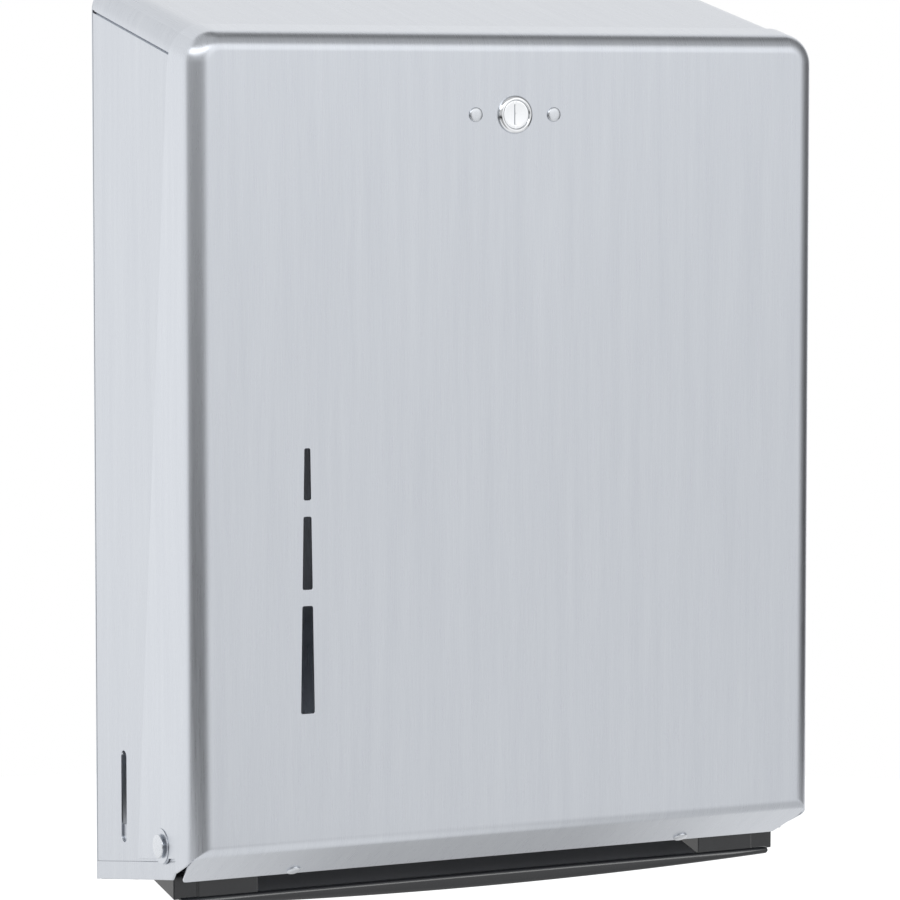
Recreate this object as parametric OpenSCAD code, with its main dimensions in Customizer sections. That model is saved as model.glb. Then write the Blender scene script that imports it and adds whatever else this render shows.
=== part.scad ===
// Wall-hung towel dispenser: a stainless cabinet, a drawn cover that swings down on two pins
// at its foot, a moulded towel guide behind the cover's lip, and a cam lock.
// X runs across, Y towards the wall and Z up, from the middle of the four wall screws.

/* [Cover] */
// Width over the cover's side flanges
width = 289; // [250:1:330]
// Depth from the wall to the cover's front face
depth = 102; // [96:1:125]
// Height of the cover's front, from the bottom crease to the top edge
front_h = 325; // [280:1:380]
// Rise of the top towards the wall, in degrees
top_slope = 13.2; // [8:0.2:18]
// Radius of the drawn edge round the cover's front
edge_r = 8.5; // [6:0.5:11]
// Radius of the cover's top corners, seen from the front
corner_r = 13; // [12:0.5:18]
// Depth of the cover's top flange
top_flange_d = 17.5; // [15:0.5:20]
// Depth of the side flanges below the top corners
flange_top_d = 23; // [20:0.5:30]
// Depth of the side flanges at their foot
flange_foot_d = 56; // [50:1:64]
// Height of the side flanges' foot below the crease, at the front face
flange_foot_drop = 2.1; // [1:0.1:3]
// Depth of the toe that the side flanges keep beside the lip
toe_d = 17; // [12:0.5:20]

/* [Sheet] */
// Thickness of the stainless sheet
sheet_t = 0.9; // [0.7:0.1:1.2]
// Outside radius of the plain bends
bend_r = 1.8; // [1.5:0.1:3]
// Gap between the cover and the cabinet inside it
cover_gap = 0.3; // [0.2:0.1:0.6]

/* [Lip] */
// Length of the lip from the crease to its rear edge
lip_len = 27.5; // [25:0.5:30]
// Fall of the lip towards the wall, in degrees
lip_slope = 31.8; // [28:0.2:36]
// Outside radius of the crease between front and lip
crease_r = 3; // [1.5:0.5:5]
// Width of the slit between the lip and each side flange
relief_w = 2; // [1.2:0.2:4]

/* [Refill slots] */
// Distance of the slots from the cover's left edge
slot_from_edge = 50.5; // [35:0.5:80]
// Height of the lowest slot's foot above the crease
slot_foot_h = 53; // [30:1:90]
// Height of the low slot
slot_low_h = 43.5; // [30:0.5:60]
// Height of the middle slot
slot_mid_h = 29.4; // [20:0.2:40]
// Height of the top slot
slot_top_h = 20.9; // [12:0.1:30]
// Height of the bridges between the slots
slot_bridge_h = 6.6; // [4:0.2:12]
// Width at the foot of the lowest slot
slot_foot_w = 6; // [4:0.2:9]
// Width at the head of the top slot
slot_head_w = 2.5; // [1.5:0.1:4]
// Corner radius of the slots
slot_r = 0.7; // [0.3:0.1:0.7]

/* [Cabinet] */
// Depth of the cabinet's front edge behind the cover's front face
cab_front_d = 14; // [12:0.5:18]
// Width of the front returns of the side panels
return_w = 12; // [8:0.5:18]
// Width of the rear returns of the side panels
rear_return_w = 14; // [10:0.5:20]
// Fall of the cabinet's bottom towards the wall, in degrees
bottom_slope = 8.3; // [4:0.1:10]
// Height of the side panels' foot below the crease, at the front face
seam_drop = 3.4; // [3:0.1:4.4]
// Height of the skirt below the side panels
skirt_h = 7.5; // [5:0.5:12]
// Depth of the skirt's front end
skirt_front_d = 17; // [14.5:0.5:20]
// Overlap of the top panel behind the side panels
top_lap_h = 8; // [5:0.5:10]
// Overlap of the bottom frame behind the side panels
foot_lap_h = 15; // [10:0.5:20]

/* [Side slots] */
// Distance of the side slots from the wall
side_slot_from_wall = 29.2; // [24:0.2:36]
// Width of the side slots
side_slot_w = 5.4; // [3:0.2:8]
// Height of the side slots
side_slot_h = 38; // [20:1:60]
// Height of the side slots' foot below the crease
side_slot_drop = 6; // [0:0.5:8]

/* [Floor] */
// Depth of the floor's front edge
floor_front_d = 62; // [61:0.5:66]
// Depth of the rear edge of the dispensing opening
ledge_d = 78; // [74:0.5:84]
// Width of the dispensing opening
opening_w = 204; // [160:1:230]
// Corner radius of the dispensing opening
opening_r = 7; // [3:0.5:10]
// Radius of the rolled edge of the ledge
ledge_roll_r = 1.5; // [1:0.1:2.5]
// Height of the floor's rear flange
floor_flange_h = 14; // [8:0.5:24]

/* [Wall screws] */
// Distance between the screw holes across the back
screw_span_x = 203.2; // [150:0.1:230]
// Distance between the screw holes up the back
screw_span_z = 228.6; // [150:0.1:260]
// Diameter of the screw holes
screw_hole_d = 6.4; // [4:0.1:9]
// Height of the screw pattern's middle above the crease
screw_mid_h = 161; // [140:1:190]

/* [Hinge] */
// Depth of the hinge axis behind the cover's front face
hinge_d = 32; // [29:0.5:35]
// Height of the hinge axis below the crease
hinge_drop = 1.6; // [0.5:0.1:3]
// Diameter of the hinge pins
pin_d = 5; // [4:0.1:6]
// Diameter of the pin heads
pin_head_d = 9.8; // [8:0.1:12]
// Height of the pin heads
pin_head_h = 2; // [1:0.1:3]
// Diameter of the washers under the heads
hinge_washer_d = 14.4; // [12:0.1:15]
// Thickness of the washers under the heads
hinge_washer_t = 0.5; // [0.3:0.1:1]
// Diameter of the rings inside the cabinet
burr_d = 9; // [7:0.1:11]
// Thickness of the rings inside the cabinet
burr_t = 0.8; // [0.5:0.1:1.2]
// Radius of the ear that the side flanges have round the pins
ear_r = 7.5; // [7.5:0.1:9]
// Radial clearance of turning fits
run_fit = 0.05; // [0.03:0.01:0.09]

/* [Towel guide] */
// Depth of the guide's front face
guide_front_d = 27; // [26:0.2:28]
// Depth of the guide's end blocks
block_d = 22; // [16:0.5:23]
// Width of the guide's end blocks
block_w = 37; // [30:0.5:44]
// Height of the guide's foot below the crease, at its ends
guide_drop = 25.6; // [24:0.2:26.6]
// Height of the blocks' top below the crease
block_top_drop = 12; // [11:0.2:13]
// Wall of the guide
guide_wall = 2.2; // [1.6:0.1:2.6]
// Gap between the guide and the side panels
guide_gap = 1.4; // [1.2:0.1:3]
// Depth of the shelf behind the rail
shelf_d = 19; // [14:0.5:20]
// Rise of the shelf towards the wall, in degrees
shelf_slope = 14; // [8:0.5:18]
// Sag of the rail in the middle
rail_bow = 3.3; // [1:0.1:3.6]
// Height of the rail at its ends
rail_h = 3; // [2.4:0.1:4.5]
// Thickness of the rail
rail_t = 4; // [3:0.1:5]
// Height of the rail's top above the shelf's front edge
rail_step = 0.4; // [0.2:0.1:0.6]
// Distance that the rail stands in front of the blocks
rail_proud = 1.4; // [0.6:0.1:2]
// Width of the set-back panel at the outer end of each block
end_panel_w = 10.5; // [6:0.5:16]
// Depth of the set-back panel
end_panel_d = 0.8; // [0.4:0.1:1.2]
// Thickness of the tabs on the lip
tab_t = 2.2; // [1.6:0.1:3]
// Distance of the tabs' front edge from the crease, along the lip
tab_front = 15.5; // [14.5:0.5:18]
// Distance that the tabs reach inward of the blocks
tab_reach = 20; // [18:0.5:30]
// Distance of the rivets on the lip inward of the blocks
guide_rivet_in = 13; // [8:0.5:14]
// Distance of these rivets from the lip's rear edge
guide_rivet_inset = 3.8; // [3.4:0.1:6]

/* [Rivets] */
// Diameter of the rivet heads
rivet_head_d = 6; // [5:0.1:7]
// Height of the rivet heads
rivet_head_h = 1; // [0.6:0.1:1.6]
// Diameter of the rivet shanks
rivet_d = 3; // [2.4:0.1:4]
// Diameter of the clenched ends
clench_d = 4.8; // [4.2:0.1:5.4]
// Height of the clenched ends
clench_h = 0.9; // [0.6:0.1:1.4]
// Diameter of the washers on the guide
guide_washer_d = 7; // [6:0.1:9]
// Thickness of the washers on the guide
guide_washer_t = 0.6; // [0.4:0.1:1]

/* [Lock] */
// Distance of the lock's axis below the cover's top edge
lock_drop = 32; // [28:0.5:50]
// Half of the distance between the rivets beside the lock
lock_rivet_x = 18; // [15:0.5:24]
// Diameter of the lock's front ring
ring_d = 15.8; // [14.6:0.1:19]
// Height of the lock's front ring
ring_h = 1.8; // [1.6:0.1:3]
// Radius of the ring's rounded front edge
ring_round = 1.4; // [0.6:0.1:1.5]
// Diameter of the lock's barrel
barrel_d = 13.4; // [13:0.1:14.2]
// Diameter of the plug's disc
plug_disc_d = 11.6; // [10.6:0.1:12]
// Distance that the disc lies behind the ring's front
plug_recess = 0.6; // [0.2:0.1:1]
// Depth of the plug's disc
plug_disc_h = 3; // [2:0.1:5]
// Diameter of the plug's spindle
plug_d = 9.8; // [8.6:0.1:10.2]
// Height of the key slit
key_slit_h = 8.4; // [6:0.1:9]
// Width of the key slit
key_slit_w = 0.9; // [0.6:0.1:1.6]
// Depth of the key slit
key_slit_d = 7; // [4:0.5:7.5]
// Distance of the key slit from the lock's axis
key_slit_off = 0.7; // [0:0.1:1]
// Thickness of the plate behind the cover
lock_plate_t = 1.2; // [0.8:0.1:2]
// Height of the plate behind the cover
lock_plate_h = 18; // [17:0.5:20]
// Thickness of the spring clip
clip_t = 0.8; // [0.5:0.1:1.2]
// Depth of the clip's groove
clip_groove = 0.6; // [0.3:0.1:0.8]
// Outside diameter of the clip
clip_d = 18; // [16:0.5:21]

/* [Latch] */
// Height of the header's foot above the lock's axis
header_clear = 10.5; // [9.5:0.5:12]
// Width of the strike
strike_w = 44; // [42:1:60]
// Height of the strike
strike_h = 16; // [15:0.5:18]
// Thickness of the strike
strike_t = 1.2; // [0.8:0.1:2]
// Half of the distance between the strike's rivets
strike_rivet_x = 17; // [17:0.5:18]
// Gap between the strike and the cam
cam_gap = 0.5; // [0.3:0.1:1]
// Reach of the cam from the lock's axis
cam_len = 22; // [19:0.5:22.5]
// Width of the cam's blade
cam_w = 11; // [9:0.5:13]
// Diameter of the cam's hub
cam_hub_d = 14; // [13:0.5:16]
// Thickness of the cam
cam_t = 1.6; // [1.2:0.1:2.4]
// Side of the square that drives the cam
drive_w = 5.6; // [5:0.1:6.2]
// Diameter of the cam's washer
cam_washer_d = 11; // [9:0.1:12.5]
// Thickness of the cam's washer
cam_washer_t = 0.8; // [0.5:0.1:1.2]
// Diameter of the cam's screw
cam_screw_d = 3.8; // [3:0.1:4.2]
// Length of the screw inside the plug
cam_screw_len = 8; // [5:0.5:8.5]
// Diameter of the screw's head
cam_screw_head_d = 7.6; // [6:0.1:9]
// Height of the screw's head
cam_screw_head_h = 2.2; // [1.5:0.1:3]
// Width of the driver slot in the screw's head
driver_slot_w = 1; // [0.8:0.1:1.4]

/* [Hidden] */
$fn = 64;

steel = "silver";
chrome = "gainsboro";
black = "dimgray";

// Clearance of parts that are fixed to each other by a pin or a rivet
set_fit = 0.05;
// Overrun of a cut past the face that it opens
over = 1;

half_w = width / 2;
crease_z = -screw_mid_h;
cab_half = half_w - sheet_t - cover_gap;
cap_r = corner_r - sheet_t - cover_gap;
lock_h = front_h - lock_drop;
header_h = lock_h + header_clear;
lip_half = half_w - sheet_t - relief_w;
guide_half = cab_half - sheet_t - guide_gap;
back_d = depth - sheet_t;
pan_reach = flange_foot_d + edge_r;
pan_foot = depth;
// Facets of the drawn edge, of its corners, of the slots' corners and of the bowed rail's edge
// and length
ball_steps = 16;
corner_steps = 4;
slot_steps = 16;
bead_steps = 12;
bow_steps = 720;

pin_r = pin_d / 2;
rivet_r = rivet_d / 2;
barrel_r = barrel_d / 2;
strike_front_d = cab_front_d + sheet_t;
cam_front_d = strike_front_d + strike_t + cam_gap;
cam_rear_d = cam_front_d + cam_t;
disc_front_d = plug_recess - ring_h;
barrel_rear_d = cam_front_d - cover_gap;
clip_front_d = sheet_t + lock_plate_t;
strike_rivet_h = header_h + strike_h - clench_d;

rail_half = guide_half - rail_proud;
bow_r = (rail_half * rail_half + rail_bow * rail_bow) / (2 * rail_bow);
bow_angle = 2 * asin(rail_half / bow_r);
block_in = guide_half - block_w;
guide_rivet_x = block_in - guide_rivet_in;
shelf_front_h = rail_h - guide_drop;

// Height of a plane that lies a drop below the cover's sloping top, at a depth behind the front
function top_at(d, drop) = front_h + d * tan(top_slope) - drop / cos(top_slope);
// Height of the side panels' foot at a depth behind the front
function seam_at(d) = -seam_drop - d * tan(bottom_slope);
// Height of the side flanges' foot at a depth behind the front
function flange_foot_at(d) = -flange_foot_drop - d * tan(bottom_slope);
// Height of the lip's plane, set in by a distance, at a depth behind the front
function lip_at(d, inset) = (inset - d * sin(lip_slope)) / cos(lip_slope);
// Width of the refill slots at a height above the crease
function slot_w_at(h) = slot_foot_w + (slot_head_w - slot_foot_w) * (h - slot_foot_h) / slots_h;
slots_h = slot_low_h + slot_mid_h + slot_top_h + 2 * slot_bridge_h;

// Side view, depth against height, carried across the width
module across(w, x = 0) {
    translate([x, -depth, crease_z])
        rotate([90, 0, 90])
            linear_extrude(w, center = true)
                children();
}

// Front view, width against height, carried from one depth to the next
module from_to(d0, d1) {
    translate([0, d1 - depth, crease_z])
        rotate([90, 0, 0])
            linear_extrude(d1 - d0)
                children();
}

// Plan view, width against depth, carried from one height above the crease to the next
module in_plan(h0, h1) {
    translate([0, -depth, crease_z + h0])
        linear_extrude(h1 - h0)
            children();
}

// Local z runs into the cabinet from the cover's front face
module at_lock(x = 0) {
    translate([x, -depth, crease_z + lock_h])
        rotate([-90, 0, 0])
            children();
}

// Local z runs outwards from the middle along the hinge axis
module at_hinge(side) {
    translate([0, hinge_d - depth, crease_z - hinge_drop])
        rotate([0, side * 90, 0])
            children();
}

// Local y runs along the lip from the crease, local z inwards from its outer face
module on_lip(x, along) {
    translate([x, along * cos(lip_slope) - depth, crease_z - along * sin(lip_slope)])
        rotate([-lip_slope, 0, 0])
            children();
}

// Local y runs up the cabinet's sloping top, local z out of it
module on_top() {
    translate([0, -depth, crease_z + top_at(0, sheet_t + cover_gap)])
        rotate([top_slope, 0, 0])
            children();
}

module ring(r_out, r_in, h) {
    difference() {
        cylinder(r = r_out, h = h);
        translate([0, 0, -over])
            cylinder(r = r_in, h = h + 2 * over);
    }
}

// Low round head standing on z = 0
module dome(d, h) {
    ball_r = (d * d / 4 + h * h) / (2 * h);
    intersection() {
        translate([0, 0, h - ball_r])
            sphere(ball_r);
        cylinder(d = d, h = h);
    }
}

// Rivet with its head's seat at z = 0, its shank along +z and a clenched end past the grip
module rivet(grip) {
    cylinder(r = rivet_r, h = grip + over / 2);
    mirror([0, 0, 1])
        dome(rivet_head_d, rivet_head_h);
    translate([0, 0, grip])
        dome(clench_d, clench_h);
}

module round_square(size, r) {
    translate([r, 0])
        square([size[0] - 2 * r, size[1]]);
    translate([0, r])
        square([size[0], size[1] - 2 * r]);
    for (x = [r, size[0] - r], y = [r, size[1] - r])
        translate([x, y])
            circle(r);
}

module ball(r) {
    rotate_extrude($fn = 2 * ball_steps)
        polygon([for (i = [0:ball_steps]) let (a = 180 * i / ball_steps - 90) [r * cos(a), r * sin(a)]]);
}

// Drawn form of the cover, set in from its outer face: every edge is rolled by one ball, whose
// middle runs round each top corner
module pan_solid(inset) {
    r = edge_r - inset;
    swing = corner_r - edge_r;
    hull()
        for (side = [-1, 1], d = [edge_r, edge_r + pan_reach]) {
            for (i = [0:corner_steps]) {
                a = 90 * i / corner_steps;
                x = half_w - corner_r + swing * cos(a);
                h = top_at(d, corner_r) + swing * sin(a) / cos(top_slope);
                translate([side * x, d - depth, crease_z + h])
                    ball(r);
            }
            translate([side * (half_w - edge_r), d - depth, crease_z - pan_foot])
                cylinder(r = r, h = over, $fn = 2 * ball_steps);
        }
}

// Side view of the space behind the cover's front and above its lip, with the crease's bend
module lip_profile(inset, reach) {
    r = max(crease_r - inset, bend_r - sheet_t);
    bend = [inset + r, lip_at(inset + r, inset + r)];
    foot = [inset, lip_at(inset, inset)];
    head = 2 * front_h;
    difference() {
        polygon([foot, [inset, head], [reach, head], [reach, lip_at(reach, inset)]]);
        difference() {
            polygon([
                [inset, bend[1]],
                foot,
                bend - r * [sin(lip_slope), cos(lip_slope)],
                bend
            ]);
            translate(bend)
                circle(r);
        }
    }
}

// Rear edge of the cover, seen from the side
module rear_trim(foot_h, foot_d) {
    corner_h = front_h - corner_r;
    polygon([
        [-over, -pan_foot],
        [foot_d, foot_h],
        [flange_top_d, corner_h],
        [top_flange_d, top_at(top_flange_d, 0)],
        [top_flange_d, 2 * front_h],
        [-over, 2 * front_h]
    ]);
}

// Side view of the cover's side flange: straight foot, ear round the pin and toe beside the lip
module flange_outline() {
    foot = flange_foot_at(flange_foot_d);
    intersection() {
        rear_trim(foot, flange_foot_d);
        union() {
            polygon([
                [-over, flange_foot_at(-over)],
                [flange_foot_d, foot],
                [flange_foot_d, 2 * front_h],
                [-over, 2 * front_h]
            ]);
            polygon([
                [-over, over],
                [-over, lip_at(toe_d, -over)],
                [toe_d, lip_at(toe_d, -over)],
                [toe_d, flange_foot_at(toe_d) + over]
            ]);
        }
    }
    translate([hinge_d, -hinge_drop])
        circle(ear_r);
}

module refill_slot(h0, h1) {
    w0 = slot_w_at(h0) / 2;
    w1 = slot_w_at(h1) / 2;
    offset(r = slot_r, $fn = slot_steps)
        offset(delta = -slot_r)
            polygon([[-w0, h0], [w0, h0], [w1, h1], [-w1, h1]]);
}

module front_cover() {
    lip_end = [lip_len * cos(lip_slope), -lip_len * sin(lip_slope)];
    slit_w = relief_w - set_fit;
    mid_h = slot_foot_h + slot_low_h + slot_bridge_h;
    top_h = mid_h + slot_mid_h + slot_bridge_h;
    color(steel)
        difference() {
            intersection() {
                pan_solid(0);
                across(width + 2 * over)
                    lip_profile(0, pan_reach);
                union() {
                    across(2 * lip_half + 2 * over)
                        polygon([
                            [-over, -pan_foot],
                            lip_end - lip_len * [sin(lip_slope), cos(lip_slope)],
                            lip_end + edge_r * [sin(lip_slope), cos(lip_slope)],
                            [flange_top_d, front_h - corner_r],
                            [top_flange_d, top_at(top_flange_d, 0)],
                            [top_flange_d, 2 * front_h],
                            [-over, 2 * front_h]
                        ]);
                    for (side = [-1, 1])
                        across(half_w - lip_half + 2 * over, side * (half_w + lip_half) / 2)
                            flange_outline();
                }
            }
            intersection() {
                pan_solid(sheet_t);
                across(width)
                    lip_profile(sheet_t, pan_reach + over);
            }
            for (side = [-1, 1])
                on_lip(side * (lip_half + slit_w / 2), edge_r / 2)
                    translate([-slit_w / 2, 0, -over])
                        cube([slit_w, 2 * lip_len, sheet_t + 2 * over]);
            for (side = [-1, 1])
                at_hinge(side)
                    cylinder(r = pin_r + run_fit, h = width);
            for (side = [-1, 1])
                on_lip(side * guide_rivet_x, lip_len - guide_rivet_inset)
                    translate([0, 0, -over])
                        cylinder(r = rivet_r + set_fit, h = sheet_t + 2 * over);
            at_lock()
                translate([0, 0, -over])
                    cylinder(r = barrel_r + set_fit, h = edge_r);
            for (side = [-1, 1])
                at_lock(side * lock_rivet_x)
                    translate([0, 0, -over])
                        cylinder(r = rivet_r + set_fit, h = edge_r);
            from_to(-over, sheet_t + over)
                translate([slot_from_edge - half_w, 0]) {
                    refill_slot(slot_foot_h, slot_foot_h + slot_low_h);
                    refill_slot(mid_h, mid_h + slot_mid_h);
                    refill_slot(top_h, top_h + slot_top_h);
                }
        }
}

module back_panel() {
    foot = seam_at(depth) - skirt_h;
    head = top_at(back_d, sheet_t + cover_gap);
    color(steel)
        difference() {
            from_to(back_d, depth) {
                translate([-cab_half, foot])
                    square([2 * cab_half, head - cap_r - foot]);
                translate([cap_r - cab_half, foot])
                    square([2 * (cab_half - cap_r), head - foot]);
                for (side = [-1, 1])
                    translate([side * (cab_half - cap_r), head - cap_r])
                        circle(cap_r);
            }
            for (x = [-1, 1], z = [-1, 1])
                translate([x * screw_span_x / 2, over, z * screw_span_z / 2])
                    rotate([90, 0, 0])
                        cylinder(d = screw_hole_d, h = sheet_t + 2 * over);
        }
}

// Right-hand side panel: a channel in plan, trimmed to the side view
module side_panel() {
    run = back_d - cab_front_d;
    head = sheet_t + cover_gap + cap_r;
    slot_d = depth - side_slot_from_wall;
    slot_foot = side_slot_w / 2 - side_slot_drop;
    slot_head = slot_foot + side_slot_h - side_slot_w;
    difference() {
        intersection() {
            translate([cab_half - rear_return_w, cab_front_d - depth, crease_z - pan_foot])
                linear_extrude(3 * front_h)
                    intersection() {
                        difference() {
                            translate([-bend_r, 0])
                                round_square([rear_return_w + bend_r, run], bend_r);
                            translate([-bend_r, sheet_t])
                                round_square([rear_return_w + bend_r - sheet_t, run - 2 * sheet_t],
                                    bend_r - sheet_t);
                        }
                        union() {
                            translate([0, run / 2])
                                square([rear_return_w, run]);
                            translate([rear_return_w - return_w, 0])
                                square([return_w, run]);
                        }
                    }
            across(2 * width)
                polygon([
                    [cab_front_d, seam_at(cab_front_d)],
                    [depth, seam_at(depth)],
                    [depth, top_at(depth, head)],
                    [cab_front_d, top_at(cab_front_d, head)]
                ]);
        }
        // The front return stops short of the header and of the cover's lip
        for (span = [[-pan_foot, hinge_drop], [header_h - over, 2 * front_h]])
            from_to(cab_front_d - over, cab_front_d + bend_r)
                translate([0, span[0]])
                    square([cab_half - bend_r, span[1] - span[0]]);
        across(width, half_w) {
            translate([slot_d, slot_foot])
                circle(d = side_slot_w);
            translate([slot_d, slot_head])
                circle(d = side_slot_w);
            translate([slot_d - side_slot_w / 2, slot_foot])
                square([side_slot_w, slot_head - slot_foot]);
        }
        at_hinge(1)
            cylinder(r = pin_r + set_fit, h = width);
    }
}

module right_side_panel() {
    color(steel)
        side_panel();
}

module left_side_panel() {
    color(steel)
        mirror([1, 0, 0])
            side_panel();
}

// Section of the cap across its slope, set in from its outer face and carried down to a drop
module cap_section(inset, drop) {
    half = cab_half - inset;
    r = cap_r - inset;
    translate([r - half, -drop])
        square([2 * (half - r), drop - inset]);
    if (drop > cap_r)
        translate([-half, -drop])
            square([2 * half, drop - cap_r]);
    intersection() {
        for (side = [-1, 1])
            translate([side * (half - r), -cap_r])
                circle(r);
        translate([-half, -min(drop, cap_r)])
            square([2 * half, drop]);
    }
}

// A section of the top, carried along its slope from one depth to another
module top_run(d0, d1) {
    intersection() {
        on_top()
            rotate([90, 0, 0])
                linear_extrude(4 * depth, center = true)
                    children();
        translate([-width, d0 - depth, crease_z])
            cube([2 * width, d1 - d0, 2 * front_h]);
    }
}

module top_panel() {
    color(steel)
        difference() {
            union() {
                top_run(cab_front_d, back_d)
                    difference() {
                        cap_section(0, cap_r);
                        cap_section(sheet_t, cap_r + over);
                    }
                top_run(cab_front_d + bend_r, back_d - bend_r)
                    for (side = [-1, 1])
                        translate([side * (cab_half - 1.5 * sheet_t), 0])
                            translate([-sheet_t / 2, -cap_r - top_lap_h])
                                square([sheet_t, top_lap_h + 4 * sheet_t]);
                intersection() {
                    top_run(cab_front_d, cab_front_d + sheet_t)
                        cap_section(sheet_t / 2, front_h / 2);
                    from_to(0, depth)
                        translate([bend_r - cab_half, header_h])
                            square([2 * (cab_half - bend_r), front_h]);
                }
                top_run(back_d - sheet_t, back_d)
                    cap_section(sheet_t / 2, cap_r);
            }
            for (side = [-1, 1])
                translate([side * strike_rivet_x, cab_front_d - over - depth, crease_z + strike_rivet_h])
                    rotate([-90, 0, 0])
                        cylinder(r = rivet_r + set_fit, h = sheet_t + 2 * over);
        }
}

module latch_strike() {
    color(steel)
        difference() {
            from_to(strike_front_d, strike_front_d + strike_t)
                translate([-strike_w / 2, header_h])
                    round_square([strike_w, strike_h], bend_r);
            for (side = [-1, 1])
                translate([side * strike_rivet_x, cab_front_d - depth, crease_z + strike_rivet_h])
                    rotate([-90, 0, 0])
                        cylinder(r = rivet_r + set_fit, h = depth / 2);
        }
}

module strike_rivets() {
    color(steel)
        for (side = [-1, 1])
            translate([side * strike_rivet_x, cab_front_d - depth, crease_z + strike_rivet_h])
                rotate([-90, 0, 0])
                    rivet(sheet_t + strike_t);
}

module bottom_frame() {
    floor_front = seam_at(floor_front_d) - skirt_h;
    floor_rear = seam_at(back_d) - skirt_h;
    lap_front_d = (hinge_d + floor_front_d) / 2;
    ledge_h = seam_at(ledge_d) - skirt_h + ledge_roll_r;
    color(steel) {
        // Skirts in line with the side panels
        for (side = [-1, 1])
            across(sheet_t, side * (cab_half - sheet_t / 2))
                polygon([
                    [skirt_front_d, seam_at(skirt_front_d)],
                    [back_d, seam_at(back_d)],
                    [back_d, floor_rear],
                    [skirt_front_d + skirt_h / 2, seam_at(skirt_front_d + skirt_h / 2) - skirt_h]
                ]);
        // Joggled laps behind the side panels
        for (side = [-1, 1])
            across(sheet_t, side * (cab_half - 1.5 * sheet_t))
                polygon([
                    [lap_front_d, seam_at(lap_front_d) - skirt_h],
                    [lap_front_d, seam_at(lap_front_d) + foot_lap_h / 2],
                    [lap_front_d + foot_lap_h / 2, seam_at(lap_front_d) + foot_lap_h],
                    [back_d - bend_r, seam_at(back_d) + foot_lap_h],
                    [back_d - bend_r, seam_at(back_d) - skirt_h]
                ]);
        // Floor with the dispensing opening cut into its front
        difference() {
            across(2 * cab_half)
                polygon([
                    [floor_front_d, floor_front],
                    [floor_front_d, floor_front + sheet_t],
                    [back_d, floor_rear + sheet_t],
                    [back_d, floor_rear]
                ]);
            translate([-opening_w / 2, floor_front_d - 2 * opening_r - depth, crease_z - pan_foot])
                linear_extrude(pan_foot)
                    round_square([opening_w, ledge_d - floor_front_d + 2 * opening_r], opening_r);
        }
        // Rolled edge of the ledge behind the opening
        across(opening_w - 2 * opening_r)
            translate([ledge_d, ledge_h])
                circle(ledge_roll_r);
        // Rear flange up the back panel, between the side panels' returns
        from_to(back_d - sheet_t, back_d)
            translate([rear_return_w + over - cab_half, floor_rear])
                square([2 * (cab_half - rear_return_w - over), floor_flange_h]);
    }
}

module hinge_pins() {
    inner = cab_half - sheet_t - burr_t;
    seat = half_w + run_fit + hinge_washer_t;
    color(steel)
        for (side = [-1, 1])
            at_hinge(side) {
                translate([0, 0, inner - clench_h / 2])
                    cylinder(r = pin_r, h = seat - inner + clench_h);
                translate([0, 0, inner])
                    mirror([0, 0, 1])
                        dome(burr_d - 2 * burr_t, clench_h);
                translate([0, 0, seat])
                    cylinder(d = pin_head_d, h = pin_head_h / 2);
                translate([0, 0, seat + pin_head_h / 2])
                    dome(pin_head_d, pin_head_h / 2);
            }
}

module hinge_washers() {
    color(steel)
        for (side = [-1, 1])
            at_hinge(side)
                translate([0, 0, half_w + run_fit])
                    ring(hinge_washer_d / 2, pin_r + set_fit, hinge_washer_t);
}

module hinge_burrs() {
    color(steel)
        for (side = [-1, 1])
            at_hinge(side)
                translate([0, 0, cab_half - sheet_t - burr_t])
                    ring(burr_d / 2, pin_r + set_fit, burr_t);
}

// End block: a box with a stepped front, open behind and below, and its tab on the lip
module guide_block() {
    rear_d = guide_front_d + block_d;
    end_front_d = guide_front_d + end_panel_d;
    step_x = guide_half - end_panel_w;
    foot = shelf_front_h - guide_wall;
    rear_foot = foot + (rear_d + over - end_front_d) * tan(shelf_slope);
    tab_end = (guide_front_d + guide_wall / 2 - sheet_t * sin(lip_slope)) / cos(lip_slope);
    difference() {
        intersection() {
            in_plan(foot - over, -block_top_drop)
                polygon([
                    [block_in, guide_front_d],
                    [step_x, guide_front_d],
                    [step_x, end_front_d],
                    [guide_half, end_front_d],
                    [guide_half, rear_d],
                    [block_in, rear_d]
                ]);
            across(2 * width)
                polygon([
                    [0, foot],
                    [end_front_d, foot],
                    [rear_d + over, rear_foot],
                    [rear_d + over, 0],
                    [0, 0]
                ]);
        }
        in_plan(-pan_foot, -block_top_drop - guide_wall)
            translate([block_in + guide_wall, end_front_d + guide_wall])
                square([block_w - 2 * guide_wall, block_d]);
    }
    difference() {
        on_lip(0, 0)
            translate([block_in - tab_reach, 0, sheet_t]) {
                translate([0, tab_front, 0])
                    cube([tab_reach + guide_wall, lip_len - tab_front, tab_t]);
                translate([tab_reach, tab_front, 0])
                    cube([block_w - guide_wall / 2, tab_end - tab_front, tab_t]);
            }
        on_lip(guide_rivet_x, lip_len - guide_rivet_inset)
            translate([0, 0, -over])
                cylinder(r = rivet_r + set_fit, h = sheet_t + tab_t + 2 * over);
    }
}

// Section of the rail, from its round lower edge inwards
module rail_section(h, r) {
    circle(r, $fn = bead_steps);
    translate([-h, -r])
        square([h, 2 * r]);
}

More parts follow.
